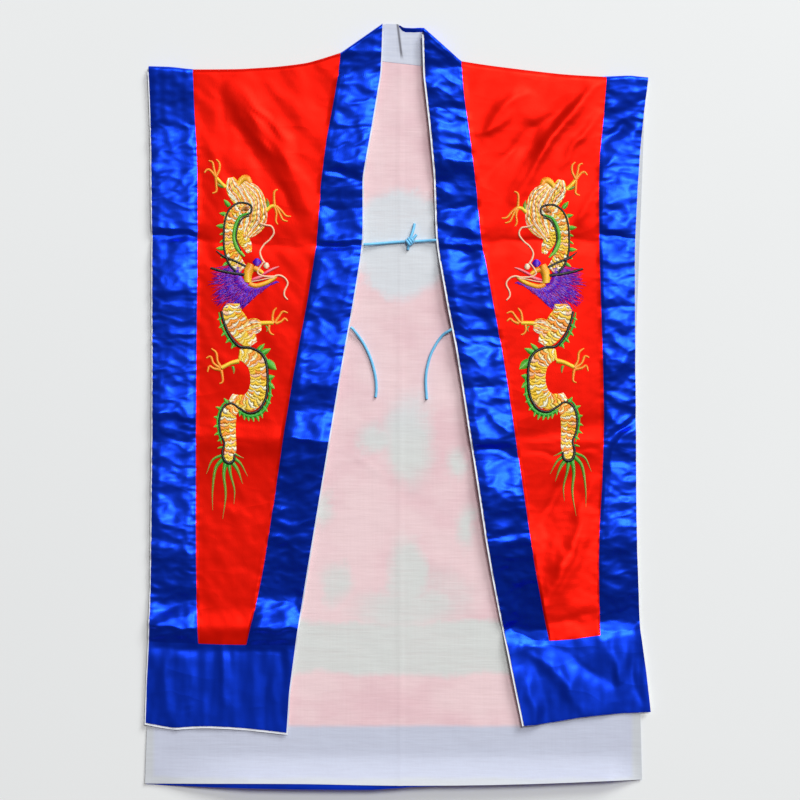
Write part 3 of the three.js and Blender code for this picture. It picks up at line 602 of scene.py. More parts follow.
# Long soft folds on the red panels and the hem bands, read in the same way: x and y of one end, x and
# y of the other, how far the fold bows between them, its width and its height.
LONG_FOLDS = {
    "right": [
        (-264, 500, -140, 352, 5, 14, 1.6), (-258, 512, -176, 430, 3, 5, 1.0),
        (-262, 486, -186, 392, 8, 3.5, 0.7), (-240, 502, -150, 402, 7, 3.5, 0.6),
        (-270, 470, -196, 352, 4, 10, -1.2), (-236, 466, -166, 330, 3, 6, 0.9),
        (-200, 396, -150, 286, 5, 8, -0.9), (-208, 514, -140, 452, -4, 12, 0.8),
        (-300, 420, -268, 330, 3, 10, 0.9), (-180, 420, -136, 300, 8, 10, 1.1),
        (-282, 508, -272, 420, 4, 8, -0.9), (-318, 262, -130, 254, 2, 4, -0.7),
        (-318, -26, -214, -36, 2, 5, 0.4), (-318, -54, -222, -62, -2, 4, -0.5),
        (-300, -160, -232, -176, 4, 8, 0.4), (-286, 74, -190, 40, 8, 16, 0.6),
        (-372, -392, -366, -500, 5, 10, 1.3), (-340, -396, -330, -470, -4, 10, 1.3),
        (-296, -380, -300, -480, 6, 14, -1.2), (-282, -378, -276, -470, 4, 9, 1.4),
        (-222, -384, -214, -500, -5, 13, -0.9), (-196, -400, -200, -470, 3, 9, 0.7),
        (-388, -384, -200, -392, 3, 9, -1.4),
    ],
    "left": [
        (312, 504, 192, 344, 6, 9, 3.2), (312, 508, 236, 426, 3, 5, 1.2), (320, 462, 262, 386, 2, 7, 2.6),
        (290, 496, 150, 370, 6, 14, -2.6), (252, 440, 184, 352, 4, 5, 1.2),
        (290, 470, 214, 372, 5, 4, 0.9), (322, 350, 290, 296, 4, 6, 1.8), (200, 500, 138, 430, 8, 8, 2.0),
        (180, 470, 124, 436, -8, 6, 1.4),
        (208, 500, 150, 442, 5, 12, 1.3), (250, 468, 190, 470, -8, 12, 1.0),
        (300, 310, 250, 250, 5, 12, 0.8), (318, 262, 150, 262, 3, 4, -0.7),
        (322, -56, 196, -60, 3, 5, 0.7), (322, -68, 200, -74, -3, 4, -0.7),
        (296, -176, 228, -330, -6, 17, 3.2), (296, -92, 226, -200, 6, 17, -2.4),
        (320, -120, 284, -176, 4, 10, 1.4), (322, -330, 240, -352, 3, 7, -0.8),
        (204, -386, 296, -486, -8, 11, 3.0), (250, -372, 340, -440, 6, 12, -2.0),
        (334, -370, 356, -432, 4, 8, 2.2), (196, -426, 222, -506, -6, 10, 2.0),
        (374, -382, 386, -472, 3, 8, -1.4), (196, -376, 236, -384, 0, 6, 1.2),
    ],
}


# How far stretches of a band lean over all, as a rise in mm for each mm up the robe: from a place down.
# Cloth that rises up the robe turns from the light and looks dark, and cloth that falls is bright. They
# are set to the light and dark stretches of the photo.
BAND_LEANS = {
    "right_side_band": [
        (545, 0.1), (445, 0.09), (435, -0.03), (284, -0.03), (266, -0.04), (190, -0.04), (176, 0.05),
        (94, 0.05), (88, -0.03), (62, -0.03), (55, 0.06), (36, 0.06), (30, -0.05), (-8, -0.05),
        (-16, 0.08), (-50, 0.08), (-56, -0.03), (-208, -0.03), (-240, 0.06), (-306, 0.07),
        (-314, -0.05), (-350, -0.05), (-355, 0.12), (-376, 0.1),
    ],
    "right_collar_band": [
        (612, 0.09), (532, 0.09), (526, -0.05), (498, -0.05), (488, 0), (470, -0.03), (390, -0.03),
        (382, 0.08), (320, 0.08), (312, -0.05), (264, -0.05), (256, 0.06), (250, -0.03),
        (196, -0.03), (184, 0), (140, 0), (134, -0.05), (36, -0.04), (28, 0.07), (-8, 0.07),
        (-14, -0.06), (-48, -0.06), (-62, 0.1), (-300, 0.1), (-312, -0.04), (-350, -0.05),
        (-355, 0.12), (-376, 0.1),
    ],
    "left_collar_band": [
        (612, 0.18), (548, 0.14), (540, 0.0), (510, -0.01), (504, 0.09), (480, 0.07),
        (462, -0.02), (394, -0.03), (388, 0.12), (350, 0.12), (344, 0.05), (328, 0.05),
        (320, -0.05), (268, -0.05), (262, 0.05), (246, 0.05), (240, -0.05), (204, -0.05),
        (196, 0.05), (176, 0.04), (170, -0.03), (158, -0.02), (150, 0.05), (100, 0.05),
        (94, -0.05), (50, -0.05), (36, 0.02), (20, -0.04), (-58, -0.04), (-64, 0.1), (-80, 0.1),
        (-86, -0.07), (-148, -0.06), (-156, 0.09), (-200, 0.08), (-206, -0.04), (-214, -0.03),
        (-222, 0.19), (-354, 0.2), (-360, -0.05), (-376, -0.05),
    ],
    "left_side_band": [
        (530, 0.09), (440, 0.05), (420, -0.01), (385, -0.02), (376, -0.05), (300, -0.03),
        (200, -0.02), (160, 0), (80, 0), (70, 0.06), (-12, 0.05), (-18, -0.04), (-40, -0.03),
        (-48, 0.06), (-92, 0.04), (-98, -0.03), (-200, -0.02), (-222, 0.1), (-340, 0.1),
        (-346, -0.06), (-376, -0.05),
    ],
    "right_red_panel": [(-100, 0), (-160, -0.025), (-400, -0.025)],
    "left_red_panel": [(-130, 0), (-200, -0.045), (-400, -0.045)],
    "right_hem_band": [(-350, 0.012), (-540, 0.012)],
    "left_hem_band": [(-350, 0.005), (-540, 0.005)],
}
# These turn a little all over: their rise in mm for each mm in x and in y.
BAND_TURNS = {"left_collar_band": (0.1, 0.05), "right_side_band": (0, -0.02)}


def even_blur(field, reach):
    """A field of heights with anything smaller than the reach, in cells, smoothed away."""
    kernel = np.hanning(2 * reach + 3)[1:-1]
    kernel /= kernel.sum()
    for axis in (0, 1):
        ends = [(reach, reach) if i == axis else (0, 0) for i in (0, 1)]
        wide = np.pad(field, ends, mode="edge")
        field = np.apply_along_axis(np.convolve, axis, wide, kernel, "valid")
    return field


LEANING = 2.1
# Above these places, in y, the outer bands hang smooth from the shoulder, in soft upright streaks.
SMOOTH_TOPS = {"right": 445, "left": 500}
HEM_WAVES = {"right": 1.6, "left": 2.4}
LOWEST_SATIN = 4.6
LINING_CLEAR = 0.75


class Lie:
    """How one front lies: the height of its satin, in mm, on a fine raster over its plan."""

    def __init__(self, which, outward, seed):
        names = ("side_band", "red_panel", "collar_band", "hem_band")
        self.cuts = {name: Cut(f"{which}_{name}") for name in names}
        self.which, self.outward, self.seed = which, outward, seed
        ends = [(u, v) for u in (0, 1) for v in (0, 1)]
        corners = np.vstack([cut.place(u, v)[None] for cut in self.cuts.values() for u, v in ends])
        low, high = corners.min(0) - 24, corners.max(0) + 24
        self.x = np.arange(low[0], high[0], RASTER)
        self.y = np.arange(low[1], high[1], RASTER)
        x, y = np.meshgrid(self.x, self.y, indexing="ij")
        self.field = self.spread(which, names) + self.wrinkles(x, y)

    def spread(self, which, names):
        """The height of the solids, without the roll at the shoulder or the corners of their faces."""
        step = 5
        top = surface_of(*[f"{which}_{name}" for name in names])
        x, y = np.meshgrid(self.x[::step], self.y[::step], indexing="ij")
        found = top(x, y)
        shoulder = self.shoulder_line(x)
        found[y > shoulder - 14] = np.nan
        while np.isnan(found).any():
            wide = np.pad(found, 1, constant_values=np.nan)
            shifts = [(i, j) for i in range(3) for j in range(3)]
            around = np.stack([wide[i : i + x.shape[0], j : j + x.shape[1]] for i, j in shifts])
            counted = ~np.isnan(around)
            mean = np.where(counted, around, 0).sum(0) / np.maximum(counted.sum(0), 1)
            fresh = np.isnan(found) & counted.any(0)
            found[fresh] = mean[fresh]
        fine = np.stack([np.interp(self.y, self.y[::step], row) for row in found])
        fine = np.stack([np.interp(self.x, self.x[::step], column) for column in fine.T]).T
        return even_blur(fine, 8)

    def line(self, name, side, y):
        """Where a long side of a piece is, in x, at some y."""
        places = getattr(self.cuts[name], side)
        return np.interp(y, places[:, 1], places[:, 0])

    def shoulder_line(self, x):
        tops = np.vstack([self.cuts[name].north for name in ("side_band", "red_panel", "collar_band")])
        order = tops[:, 0].argsort()
        return np.interp(x, tops[order, 0], tops[order, 1])

    def bent(self, x, y):
        """Places shifted a little from their own, so that no fold runs quite straight."""
        s = self.seed
        bend_x = x + 5 * wandering(x / 33, y / 41, s + 2)
        bend_y = y + 5 * wandering(x / 37, y / 31, s) + 2.2 * wandering(x / 15, y / 13, s + 1)
        return bend_x, bend_y

    def lean(self, name, x, y):
        """A slow rise and fall, in mm, that only the shading of a band feels."""
        zones = np.array(BAND_LEANS.get(f"{self.which}_{name}", [(600, 0), (-600, 0)]))[::-1]
        level = np.arange(-640, 640, 1.0)
        slope = np.interp(level, zones[:, 0], zones[:, 1])
        turn = BAND_TURNS.get(f"{self.which}_{name}", (0, 0))
        rise = np.interp(self.bent(x, y)[1], level, slope.cumsum()) * LEANING
        return rise + turn[0] * x + turn[1] * y

    def wrinkles(self, x, y):
        inner, outer = FRONT_SIDES[self.which]
        side = self.line("side_band", outer, y)
        side_seam = self.line("side_band", inner, y)
        collar_seam = self.line("red_panel", inner, y)
        lapel = self.line("collar_band", inner, y)
        seam = self.cuts["hem_band"].north
        hem_seam = np.interp(x, seam[:, 0], seam[:, 1])
        hem = np.interp(x, self.cuts["hem_band"].south[:, 0], self.cuts["hem_band"].south[:, 1])
        above_hem = ((y - hem_seam) / 18 + 0.5).clip(0, 1)
        s = self.seed
        bend_x, bend_y = self.bent(x, y)

        def band(name, seam_x, edge_x):
            """The folds that cross a band, with the puckers along both its edges."""
            across = ((bend_x - seam_x) / (edge_x - seam_x)).clip(-0.1, 1.1)
            folds = np.array(BAND_FOLDS[f"{self.which}_{name}"])
            at_seam, at_middle, at_edge = folds.T[:3, :, None, None]
            at = at_seam * (1 - across) * (1 - 2 * across)
            at = at + at_middle * 4 * across * (1 - across)
            at = at + at_edge * across * (2 * across - 1)
            at = np.minimum.accumulate(at - 2 * np.arange(len(folds))[:, None, None], axis=0)
            at = at + 2 * np.arange(len(folds))[:, None, None]
            height = np.full(x.shape, folds[0, 3])
            for i in range(len(folds) - 1):
                share = ((at[i] - bend_y) / np.maximum(at[i] - at[i + 1], 1)).clip(0, 1)
                eased = 0.5 * share + 0.25 - 0.25 * np.cos(np.pi * share)
                from_here = folds[i, 3] + (folds[i + 1, 3] - folds[i, 3]) * eased
                height = np.where(bend_y < at[i], from_here, height)
            width = np.abs(edge_x - seam_x)
            share = ((x - seam_x) / (edge_x - seam_x)).clip(0, 1)
            edge = width * np.minimum(share, 1 - share)
            pucker = wandering(x / 24, y / 7, s + 3) * np.exp(-edge / 7)
            ripple = wandering(bend_x / 40, bend_y / 15, s + 4) * np.exp(-edge / 24)
            swell = wandering(bend_x / 70, bend_y / 42, s + 5)
            fine = 1 - 2 * np.abs(wandering(bend_x / 26, bend_y / 17, s + 6))
            rising = 1 - 2 * np.abs(wandering((bend_x + bend_y) / 80, (bend_y - 0.5 * bend_x) / 31, s + 7))
            falling = 1 - 2 * np.abs(wandering((bend_x - bend_y) / 80, (bend_y + 0.5 * bend_x) / 31, s + 13))
            spanned = 2.0 * swell + 1.3 * rising + 1.3 * falling + 0.4 * fine
            held = 0.5 + 0.5 * (edge / 12).clip(0, 1)
            calm, streaks = 1, 0
            if name == "side_band":
                top = ((y - SMOOTH_TOPS[self.which]) / 20).clip(0, 1)
                calm = 1 - 0.8 * top
                streaks = 1.0 * top * wandering(x / 13, y / 120, s + 14)
            return (2.3 * height + spanned * calm) * held + (1.5 * pucker + 0.9 * ripple) * calm + streaks

        side_band = band("side_band", side_seam, side)
        collar_band = band("collar_band", collar_seam, lapel)

        to_seam = np.minimum(np.abs(x - side_seam), np.abs(x - collar_seam))
        slant = bend_x - self.outward * 0.7 * bend_y, bend_y + self.outward * 0.7 * bend_x
        pulled = 0.4 + 0.6 * ((y + 40) / 300).clip(0, 1)
        red = 0.9 * wandering(slant[0] / 50, slant[1] / 110, s + 8)
        red = pulled * (red + 0.35 * wandering(slant[0] / 17, slant[1] / 60, s + 9))
        red = red + 0.5 * wandering(x / 18, y / 8, s + 10) * np.exp(-to_seam / 6)
        hem_wave = HEM_WAVES[self.which] * wandering(bend_x / 24, bend_y / 90, s + 11)
        hem_wave = hem_wave + 0.4 * wandering(x / 12, y / 40, s + 12)
        for x0, y0, x1, y1, bow, width, height in LONG_FOLDS[self.which]:
            run = np.hypot(x1 - x0, y1 - y0)
            along = ((bend_x - x0) * (x1 - x0) + (bend_y - y0) * (y1 - y0)) / run**2
            off = ((bend_x - x0) * (y1 - y0) - (bend_y - y0) * (x1 - x0)) / run
            off = off - bow * 4 * along * (1 - along)
            ends = np.sin(np.pi * ((along + 0.12) / 1.24).clip(0, 1)) ** 0.7
            streaky = 1 + 0.25 * wandering(off / 15, along * run / 70, s + 15)
            fold = height * ends * streaky * np.exp(-np.abs(off / width) ** 1.6)
            red = red + fold
            hem_wave = hem_wave + fold

        inside = self.outward
        on_side = ((x - side_seam) * inside / 3 + 0.5).clip(0, 1)
        on_collar = ((collar_seam - x) * inside / 3 + 0.5).clip(0, 1)
        upper = red * (1 - on_side) * (1 - on_collar) + side_band * on_side + collar_band * on_collar
        field = upper * above_hem + hem_wave * (1 - above_hem)

        groove = np.exp(-((to_seam / 1.8) ** 2)) * above_hem
        groove = np.maximum(groove, np.exp(-(((y - hem_seam) / 1.8) ** 2)))
        ridge = np.exp(-(((to_seam - 4.5) / 2.5) ** 2)) * above_hem
        edge = np.minimum(np.abs(x - side), np.abs(x - lapel))
        edge = np.minimum(edge, np.abs(y - hem))
        rolled = 0.22 * (1 - (edge / 2.4).clip(0, 1)) ** 2
        return field - 0.05 * groove + 0.1 * ridge - rolled

    def height(self, x, y):
        """The satin's height at arrays of places."""
        fx = ((np.asarray(x) - self.x[0]) / RASTER).clip(0, len(self.x) - 1.001)
        fy = ((np.asarray(y) - self.y[0]) / RASTER).clip(0, len(self.y) - 1.001)
        i, j = fx.astype(int), fy.astype(int)
        fx, fy = fx - i, fy - j
        low = self.field[i, j] * (1 - fx) + self.field[i + 1, j] * fx
        high = self.field[i, j + 1] * (1 - fx) + self.field[i + 1, j + 1] * fx
        return np.maximum(low * (1 - fy) + high * fy, LOWEST_SATIN)

    def under(self, x, y):
        """A height that is safely below the satin all round a place."""
        shifts = [(dx, dy) for dx in (-4, 0, 4) for dy in (-4, 0, 4)]
        return np.min([self.height(x + dx, y + dy) for dx, dy in shifts], axis=0) - LINING_CLEAR


SHOULDER_ROLL, SHOULDER_FOOT = 7, 3.4
# How far a front's lining is drawn in from its solid's outline: at each lapel, and at the far side.
LAPEL_INSETS, SIDE_INSET = {"right": 2.4, "left": 1.5}, 0.4
front_cotton, slub = cotton("front_lining_cotton")
front_cotton.set("Base Color", slub.step(0.2, 0.8).mix((0.90, 0.92, 0.97, 1), (0.82, 0.84, 0.90, 1)))

lies = {"right": Lie("right", -1, 100), "left": Lie("left", 1, 200)}
CELLS = {"side_band": (3, 1.8), "red_panel": (3.4, 3.2), "collar_band": (3, 1.8), "hem_band": (2.4, 3.2)}
for which, lie in lies.items():
    inner, outer = FRONT_SIDES[which]
    sewn = {
        "side_band": (inner, "south"), "red_panel": ("west", "east", "south"),
        "collar_band": (outer, "south"), "hem_band": ("north",),
    }
    for name, cut in lie.cuts.items():
        is_red = name == "red_panel"

        def satin_height(x, y, u, v):
            z = lie.height(x, y)
            if name == "hem_band":
                return z
            below = lie.shoulder_line(x) - y
            share = (below / SHOULDER_ROLL).clip(0, 1)
            return SHOULDER_FOOT + (z - SHOULDER_FOOT) * np.sqrt(1 - (1 - share) ** 2)

        finish, slot = (red_satin, "red_satin") if is_red else (blue_satin, "blue_satin")

        def lean(x, y):
            return lie.lean(name, x, y)

        piece = cloth(
            f"{which}_{name}_cloth", cut, CELLS[name], satin_height, SATIN_THICK, finish, sewn[name], lean
        )
        if not is_red:
            dress(piece, f"{which}_{name}", cut)

    lining_cut = Cut(f"{which}_front_lining")
    for side, shift in (("east", -1), ("west", 1)):
        inset = LAPEL_INSETS[which] if side == inner else SIDE_INSET
        getattr(lining_cut, side)[:, 0] += shift * inset
    for line, end in ((lining_cut.north, -1), (lining_cut.south, 0)):
        line[0], line[-1] = lining_cut.west[end], lining_cut.east[end]

    def lining_height(x, y, u, v):
        rim = np.minimum(u, 1 - u) * 300
        return lie.under(x, y) + 0.6 * np.exp(-rim / 3)

    piece = cloth(
        f"{which}_front_lining_cloth", lining_cut, (4.5, 4.5), lining_height, LINING_THICK, front_cotton
    )
    dress(piece, f"{which}_front_lining", lining_cut)


# The embroidery: on each red panel a traditional dragon in rayon thread, its head below its arched
# neck and its tail hanging down. Both are one drawing, turned over for the wearer's left panel. Its
# body is laid in short scale-shaped rows, its outlines and claws in satin stitch, its mane in strands.
THREAD = 0.85
STITCH_STEP, STITCH_THICK = THREAD * 0.82, THREAD * 1.6
SHORTEST = 0.7
LAYER = 0.3
PADDING = 2.6
STREAK = 9.0
MANE_STRANDS = 520
DRAGON_MIDDLE = {"right": (-244, 200), "left": (246.4, 198.8)}
# The height of each figure and its lean. The wearer's left one is a touch shorter, and leans about the
# foot of its body, at FIGURE_FOOT.
FIGURE_FOOT = -288
DRAGON_SET = {"right": (1, 0), "left": (0.984, 0.02)}
THREAD_COLOURS = {
    "white": (1.0, 0.94, 0.70), "cream": (1.0, 0.80, 0.26), "yellow": (1.0, 0.65, 0.03),
    "orange": (1.0, 0.34, 0.012), "blush": (1.0, 0.60, 0.38), "pink": (1.0, 0.34, 0.32),
    "rose": (0.95, 0.06, 0.20), "green": (0.02, 0.42, 0.02), "leaf": (0.20, 0.56, 0.03),
    "olive": (0.40, 0.20, 0.012), "black": (0.006, 0.007, 0.004), "violet": (0.17, 0.0, 0.50),
    "indigo": (0.05, 0.0, 0.75), "plum": (0.40, 0.0, 0.30), "rust": (0.42, 0.08, 0.01),
}
# Places are in mm from the middle of the figure, each with a width. They were picked over the
# photographed figure, and a program turned them into mm, so the outline is the one in the photo.
DRAGON = {
    "scaled": [
        [(-10, 88, 12.8), (-6, 72, 17.6), (2, 58, 17), (7, 45, 7)],
        [(2, 117, 11), (-9, 114, 19), (-22, 103, 21), (-26, 85, 19), (-26, 66, 19), (-23, 47, 21),
         (-14, 29, 22), (-4, 18, 16)],
        [(-20, -36, 22), (-20, -54, 34), (-9, -73, 35), (4, -91, 30), (12, -102, 16)],
        [(-10, -118, 16), (4, -120, 26), (18, -132, 29), (22, -158, 27), (18, -182, 30),
         (4, -195, 29), (-12, -192, 22), (-23, -185, 11)],
        [(-14, -203, 14), (-26, -212, 26), (-28, -233, 26), (-25, -251, 21), (-23, -267, 18),
         (-26, -281, 16), (-26, -288, 8)],
    ],
    "streaked": [
        [(-23, 165, 9.6), (-20, 151, 24), (-10, 135, 27.2), (-2, 122, 24)],
        [(-4, 156, 13), (10, 141, 29), (18, 122, 32), (14, 101, 43), (7, 84, 35), (1, 71, 13)],
        [(-4, -78, 16), (9, -73, 25.6), (20, -72, 24), (26, -72, 12.8)],
    ],
    "cap": [[(-12, 151, 4.8), (-7, 160, 9.6), (2, 164, 11.2), (9, 156, 6.4)]],
    "belly": [[(6, 108, 3), (-7, 103, 4.5), (-15, 89, 5.6), (-18, 69, 6), (-12, 52, 7.4), (-1, 39, 3)]],
    "hook": [[(-6, 113, 4), (1, 116, 9), (6, 114, 5)]],
    "spine": [
        [(7, 104, 2.6), (-4, 100, 2.6), (-12, 85, 2.6), (-14, 66, 2.6), (-7, 48, 2.6)],
        [(1, 106, 2.9), (9, 109, 3.2), (10, 119, 3.2), (2, 124, 3.2), (-12, 124, 3.2), (-25, 114, 3.2),
         (-32, 96, 3.2), (-34, 72, 3.2), (-33, 50, 3.2), (-26, 28, 3.5), (-15, 15, 4)],
        [(-38, -48, 3.8), (-34, -65, 4.2), (-25, -86, 4.5), (-10, -104, 4.5), (9, -107, 4.2),
         (25, -115, 4.2), (34, -132, 4.2), (36, -161, 4.2), (33, -187, 4.2), (22, -206, 4.2),
         (6, -211, 3.8), (-9, -203, 3.5), (-23, -195, 3.2), (-36, -204, 3.2), (-41, -224, 3.2),
         (-39, -243, 3.2), (-33, -259, 3.2), (-36, -273, 3.8), (-33, -286, 4.8), (-25, -291, 4.8),
         (-18, -286, 4.2), (-17, -276, 3.2)],
    ],
    "horns": [
        [(-46, 48, 1.6), (-34, 39, 3.8), (-15, 31, 4.2), (1, 23, 3.8)],
        [(-55, 21, 3.5), (-38, 16, 4.2), (-18, 12, 5.1), (-1, 10, 4.8)],
    ],
    "legs": [
        [(-31, 149, 6.4), (-39, 157, 5.6), (-46, 165, 5.6)],
        [(-46, 165, 4.8), (-54, 175, 4), (-60, 178, 3.8), (-65, 173, 2.6)],
        [(-47, 167, 4.8), (-50, 180, 3.8), (-52, 189, 3.5), (-58, 192, 2.2)],
        [(-46, 167, 4.5), (-41, 178, 3.8), (-41, 188, 3.5), (-46, 194, 2.2)],
        [(-47, 165, 4.5), (-46, 152, 3.8), (-46, 143, 3.5), (-52, 140, 2.2)],
        [(33, 112, 7.2), (41, 119, 5.6), (49, 120, 5.6)],
        [(47, 120, 4.8), (46, 133, 3.8), (47, 143, 3.8), (52, 146, 2.6)],
        [(49, 120, 4.8), (58, 112, 3.8), (65, 104, 3.5), (73, 103, 2.2)],
        [(49, 119, 4.8), (55, 108, 3.8), (60, 98, 3.5), (68, 95, 2.2)],
        [(47, 119, 4.5), (50, 108, 3.5), (49, 96, 3.2), (52, 90, 2.1)],
        [(20, -68, 8), (33, -67, 6.4), (46, -67, 6.4)],
        [(44, -67, 5.1), (44, -56, 3.8), (46, -48, 3.5), (50, -43, 2.4)],
        [(47, -67, 5.1), (54, -57, 3.8), (60, -49, 3.5), (68, -51, 2.4)],
        [(49, -68, 5.1), (57, -65, 3.8), (63, -60, 3.5), (68, -64, 2.2)],
        [(39, -70, 4.2), (38, -78, 3.5), (41, -84, 3.2), (46, -86, 2.1)],
        [(-9, -128, 8), (-22, -131, 6.4), (-38, -139, 6.4)],
        [(-38, -139, 5.4), (-44, -128, 3.8), (-46, -115, 3.8), (-54, -108, 2.4)],
        [(-39, -140, 5.4), (-50, -132, 3.8), (-55, -121, 3.8), (-62, -123, 2.4)],
        [(-39, -142, 5.4), (-50, -140, 4.2), (-57, -136, 3.5), (-60, -145, 2.4)],
        [(-38, -142, 4.8), (-36, -153, 3.8), (-36, -161, 3.2), (-41, -164, 2.1)],
    ],
    "tufts": [
        [(-34, 151, 6.4), (-41, 152, 5.4), (-46, 157, 1.6)],
        [(36, 117, 6.4), (36, 125, 5.6), (34, 132, 1.6)],
        [(-20, -136, 4.8), (-18, -142, 4.2), (-18, -148, 1.6)],
        [(33, -72, 3.2), (36, -76, 3.2), (34, -81, 1.6)],
    ],
    "tail": [
        [(-36, -278, 5), (-52, -286, 3.6), (-62, -308, 0.8)],
        [(-34, -283, 7), (-47, -299, 5), (-52, -334, 3), (-52, -366, 0.7)],
        [(-31, -289, 8), (-34, -310, 5), (-31, -342, 3.6), (-36, -380, 0.7)],
        [(-26, -291, 7), (-23, -310, 4.2), (-17, -334, 2.8), (-18, -356, 0.7)],
        [(-22, -288, 7), (-12, -302, 5), (-4, -324, 0.8)],
        [(-18, -283, 6), (-7, -292, 3.6), (4, -312, 0.8)],
        [(-17, -276, 4), (-9, -280, 2.4), (-2, -283, 0.7)],
    ],
    "mane_roots": [(-4, 23), (-6, 10), (2, -3), (18, -9), (34, -8), (49, 0)],
    "mane_tips": [(-49, 21), (-58, -1), (-52, -28), (-33, -48), (-14, -50), (4, -36), (18, -20),
        (36, -10), (54, -2)],
    "face": [
        [(9, 28, 9), (7, 20, 15), (4, 8, 13), (5, -3, 11)],
        [(13, 21, 10), (22, 17, 7), (29, 12, 5)],
        [(6, -4, 8), (15, -8, 8), (26, -6, 7.2), (38, -1, 6.4), (46, 4, 5.6), (50, 7, 3.2)],
    ],
    "eye": [[(19, 36, 4.8), (19, 30, 13.6), (19, 24, 4.8)]],
    "nose": [[(34, 29, 4.8), (34, 24, 9.6), (34, 20, 4.8)]],
    "lips": [
        [(30, 31, 2.2), (23, 21, 2.6), (20, 13, 2.6), (28, 8, 2.9), (39, 7, 3.2), (47, 7, 3.8)],
        [(10, -1, 1.9), (23, 1, 1.9), (36, 4, 1.9), (47, 5, 2.6)],
    ],
    "tongue": [
        [(28, 10, 4), (38, 16, 4.2), (46, 20, 3.5), (54, 23, 1)],
        [(11, 2, 4), (18, 4, 5.6), (28, 8, 4.4)],
    ],
    "whiskers": [
        [(23, 92, 1.9), (33, 89, 2.2), (42, 87, 2.2), (46, 77, 2.2), (39, 66, 2.2), (30, 58, 2.2),
         (24, 47, 2.2), (26, 37, 2.6), (31, 29, 2.6)],
        [(46, 7, 2.9), (54, 9, 2.4), (63, 5, 2.2), (68, -4, 2.2), (63, -16, 2.2), (63, -24, 2.2),
         (68, -30, 1.6)],
    ],
}
# Fins stand on the spine: the place of the root, the place of the tip, and the width at the root.
FINS = [
    (-25, 119, -34, 130, 8), (-30, 106, -41, 108, 7.2), (-33, 87, -46, 88, 8), (-34, 76, -41, 74, 4.8),
    (-34, 66, -41, 61, 4), (-33, 52, -46, 52, 8), (-31, 40, -39, 37, 4.8), (-28, 29, -36, 24, 6.4),
    (-23, 21, -31, 15, 6.4), (-38, -59, -44, -62, 4.8), (-34, -70, -42, -75, 5.6),
    (-30, -80, -38, -88, 5.6), (-23, -91, -31, -99, 6.4), (-17, -99, -22, -108, 6.4),
    (20, -112, 31, -100, 8), (26, -116, 41, -108, 9.6), (34, -129, 50, -142, 14.4),
    (36, -155, 47, -152, 9.6), (36, -164, 47, -172, 9.6), (36, -180, 44, -184, 6.4),
    (33, -190, 41, -196, 6.4), (28, -200, 36, -209, 6.4), (23, -206, 28, -219, 6.4),
    (17, -211, 22, -224, 6.4), (10, -212, 14, -225, 6.4), (4, -212, 6, -224, 6.4),
    (-2, -209, -1, -222, 6.4), (-7, -206, -9, -216, 5.6), (-28, -196, -34, -187, 6.4),
    (-36, -206, -47, -201, 6.4), (-41, -219, -50, -217, 6.4), (-41, -230, -50, -233, 5.6),
    (-39, -241, -49, -246, 5.6), (-36, -251, -44, -256, 4.8), (-36, -265, -44, -267, 4),
]
DRAGON["fins"] = [
    [(x, y, width * 0.9), ((x + tip_x) / 2, (y + tip_y) / 2, width * 0.95), (tip_x, tip_y, 1.2)]
    for x, y, tip_x, tip_y, width in FINS
]
DRAGON["whiskers"] = [[(x, y, width * 1.25) for x, y, width in path] for path in DRAGON["whiskers"]]
DRAGON["fringe"] = [
    [(40, -150, 2), (40, -172, 4), (38, -190, 5), (27, -209, 6.5), (8, -216, 7), (-9, -209, 5),
     (-19, -201, 3)],
    [(-42, -50, 2), (-38, -70, 3.4), (-28, -90, 3.6), (-15, -105, 2.6)],
    [(12, -112, 2.4), (27, -115, 3.4), (36, -128, 3)],
    [(-24, -190, 2), (-36, -198, 3.4), (-44, -220, 3.4), (-42, -243, 3), (-37, -260, 2)],
]


def spline(points, spacing=0.4):
    """Even samples along a smooth curve through a row of points."""
    points = np.array(points, float)
    row = np.vstack([2 * points[0] - points[1], points, 2 * points[-1] - points[-2]])
    a, b, c, d = (row[i : len(row) - 3 + i, None] for i in range(4))
    t = np.linspace(0, 1, 24, endpoint=False)[None, :, None]
    curve = 2 * b + (c - a) * t + (2 * a - 5 * b + 4 * c - d) * t**2 + (3 * b - a - 3 * c + d) * t**3
    line = np.vstack([(curve / 2).reshape(-1, points.shape[1]), points[-1:]])
    length = np.insert(np.hypot(*np.diff(line[:, :2], axis=0).T).cumsum(), 0, 0)
    even = np.linspace(0, length[-1], max(int(length[-1] / spacing), 2) + 1)
    return even, np.stack([np.interp(even, length, column) for column in line.T], 1)


class Band:
    """A path with a width: finds the place at some length along it and some share across it."""

    def __init__(self, points):
        self.length, self.line = spline(points)
        run = np.gradient(self.line[:, :2], axis=0)
        run /= np.hypot(*run.T)[:, None]
        self.side = np.stack([-run[:, 1], run[:, 0]], 1)

    def at(self, length, share):
        values = np.hstack([self.line, self.side])
        x, y, width, side_x, side_y = (np.interp(length, self.length, column) for column in values.T)
        return np.stack([x + side_x * width * share / 2, y + side_y * width * share / 2], -1)

    def width(self, length):
        return np.interp(length, self.length, self.line[:, 2])


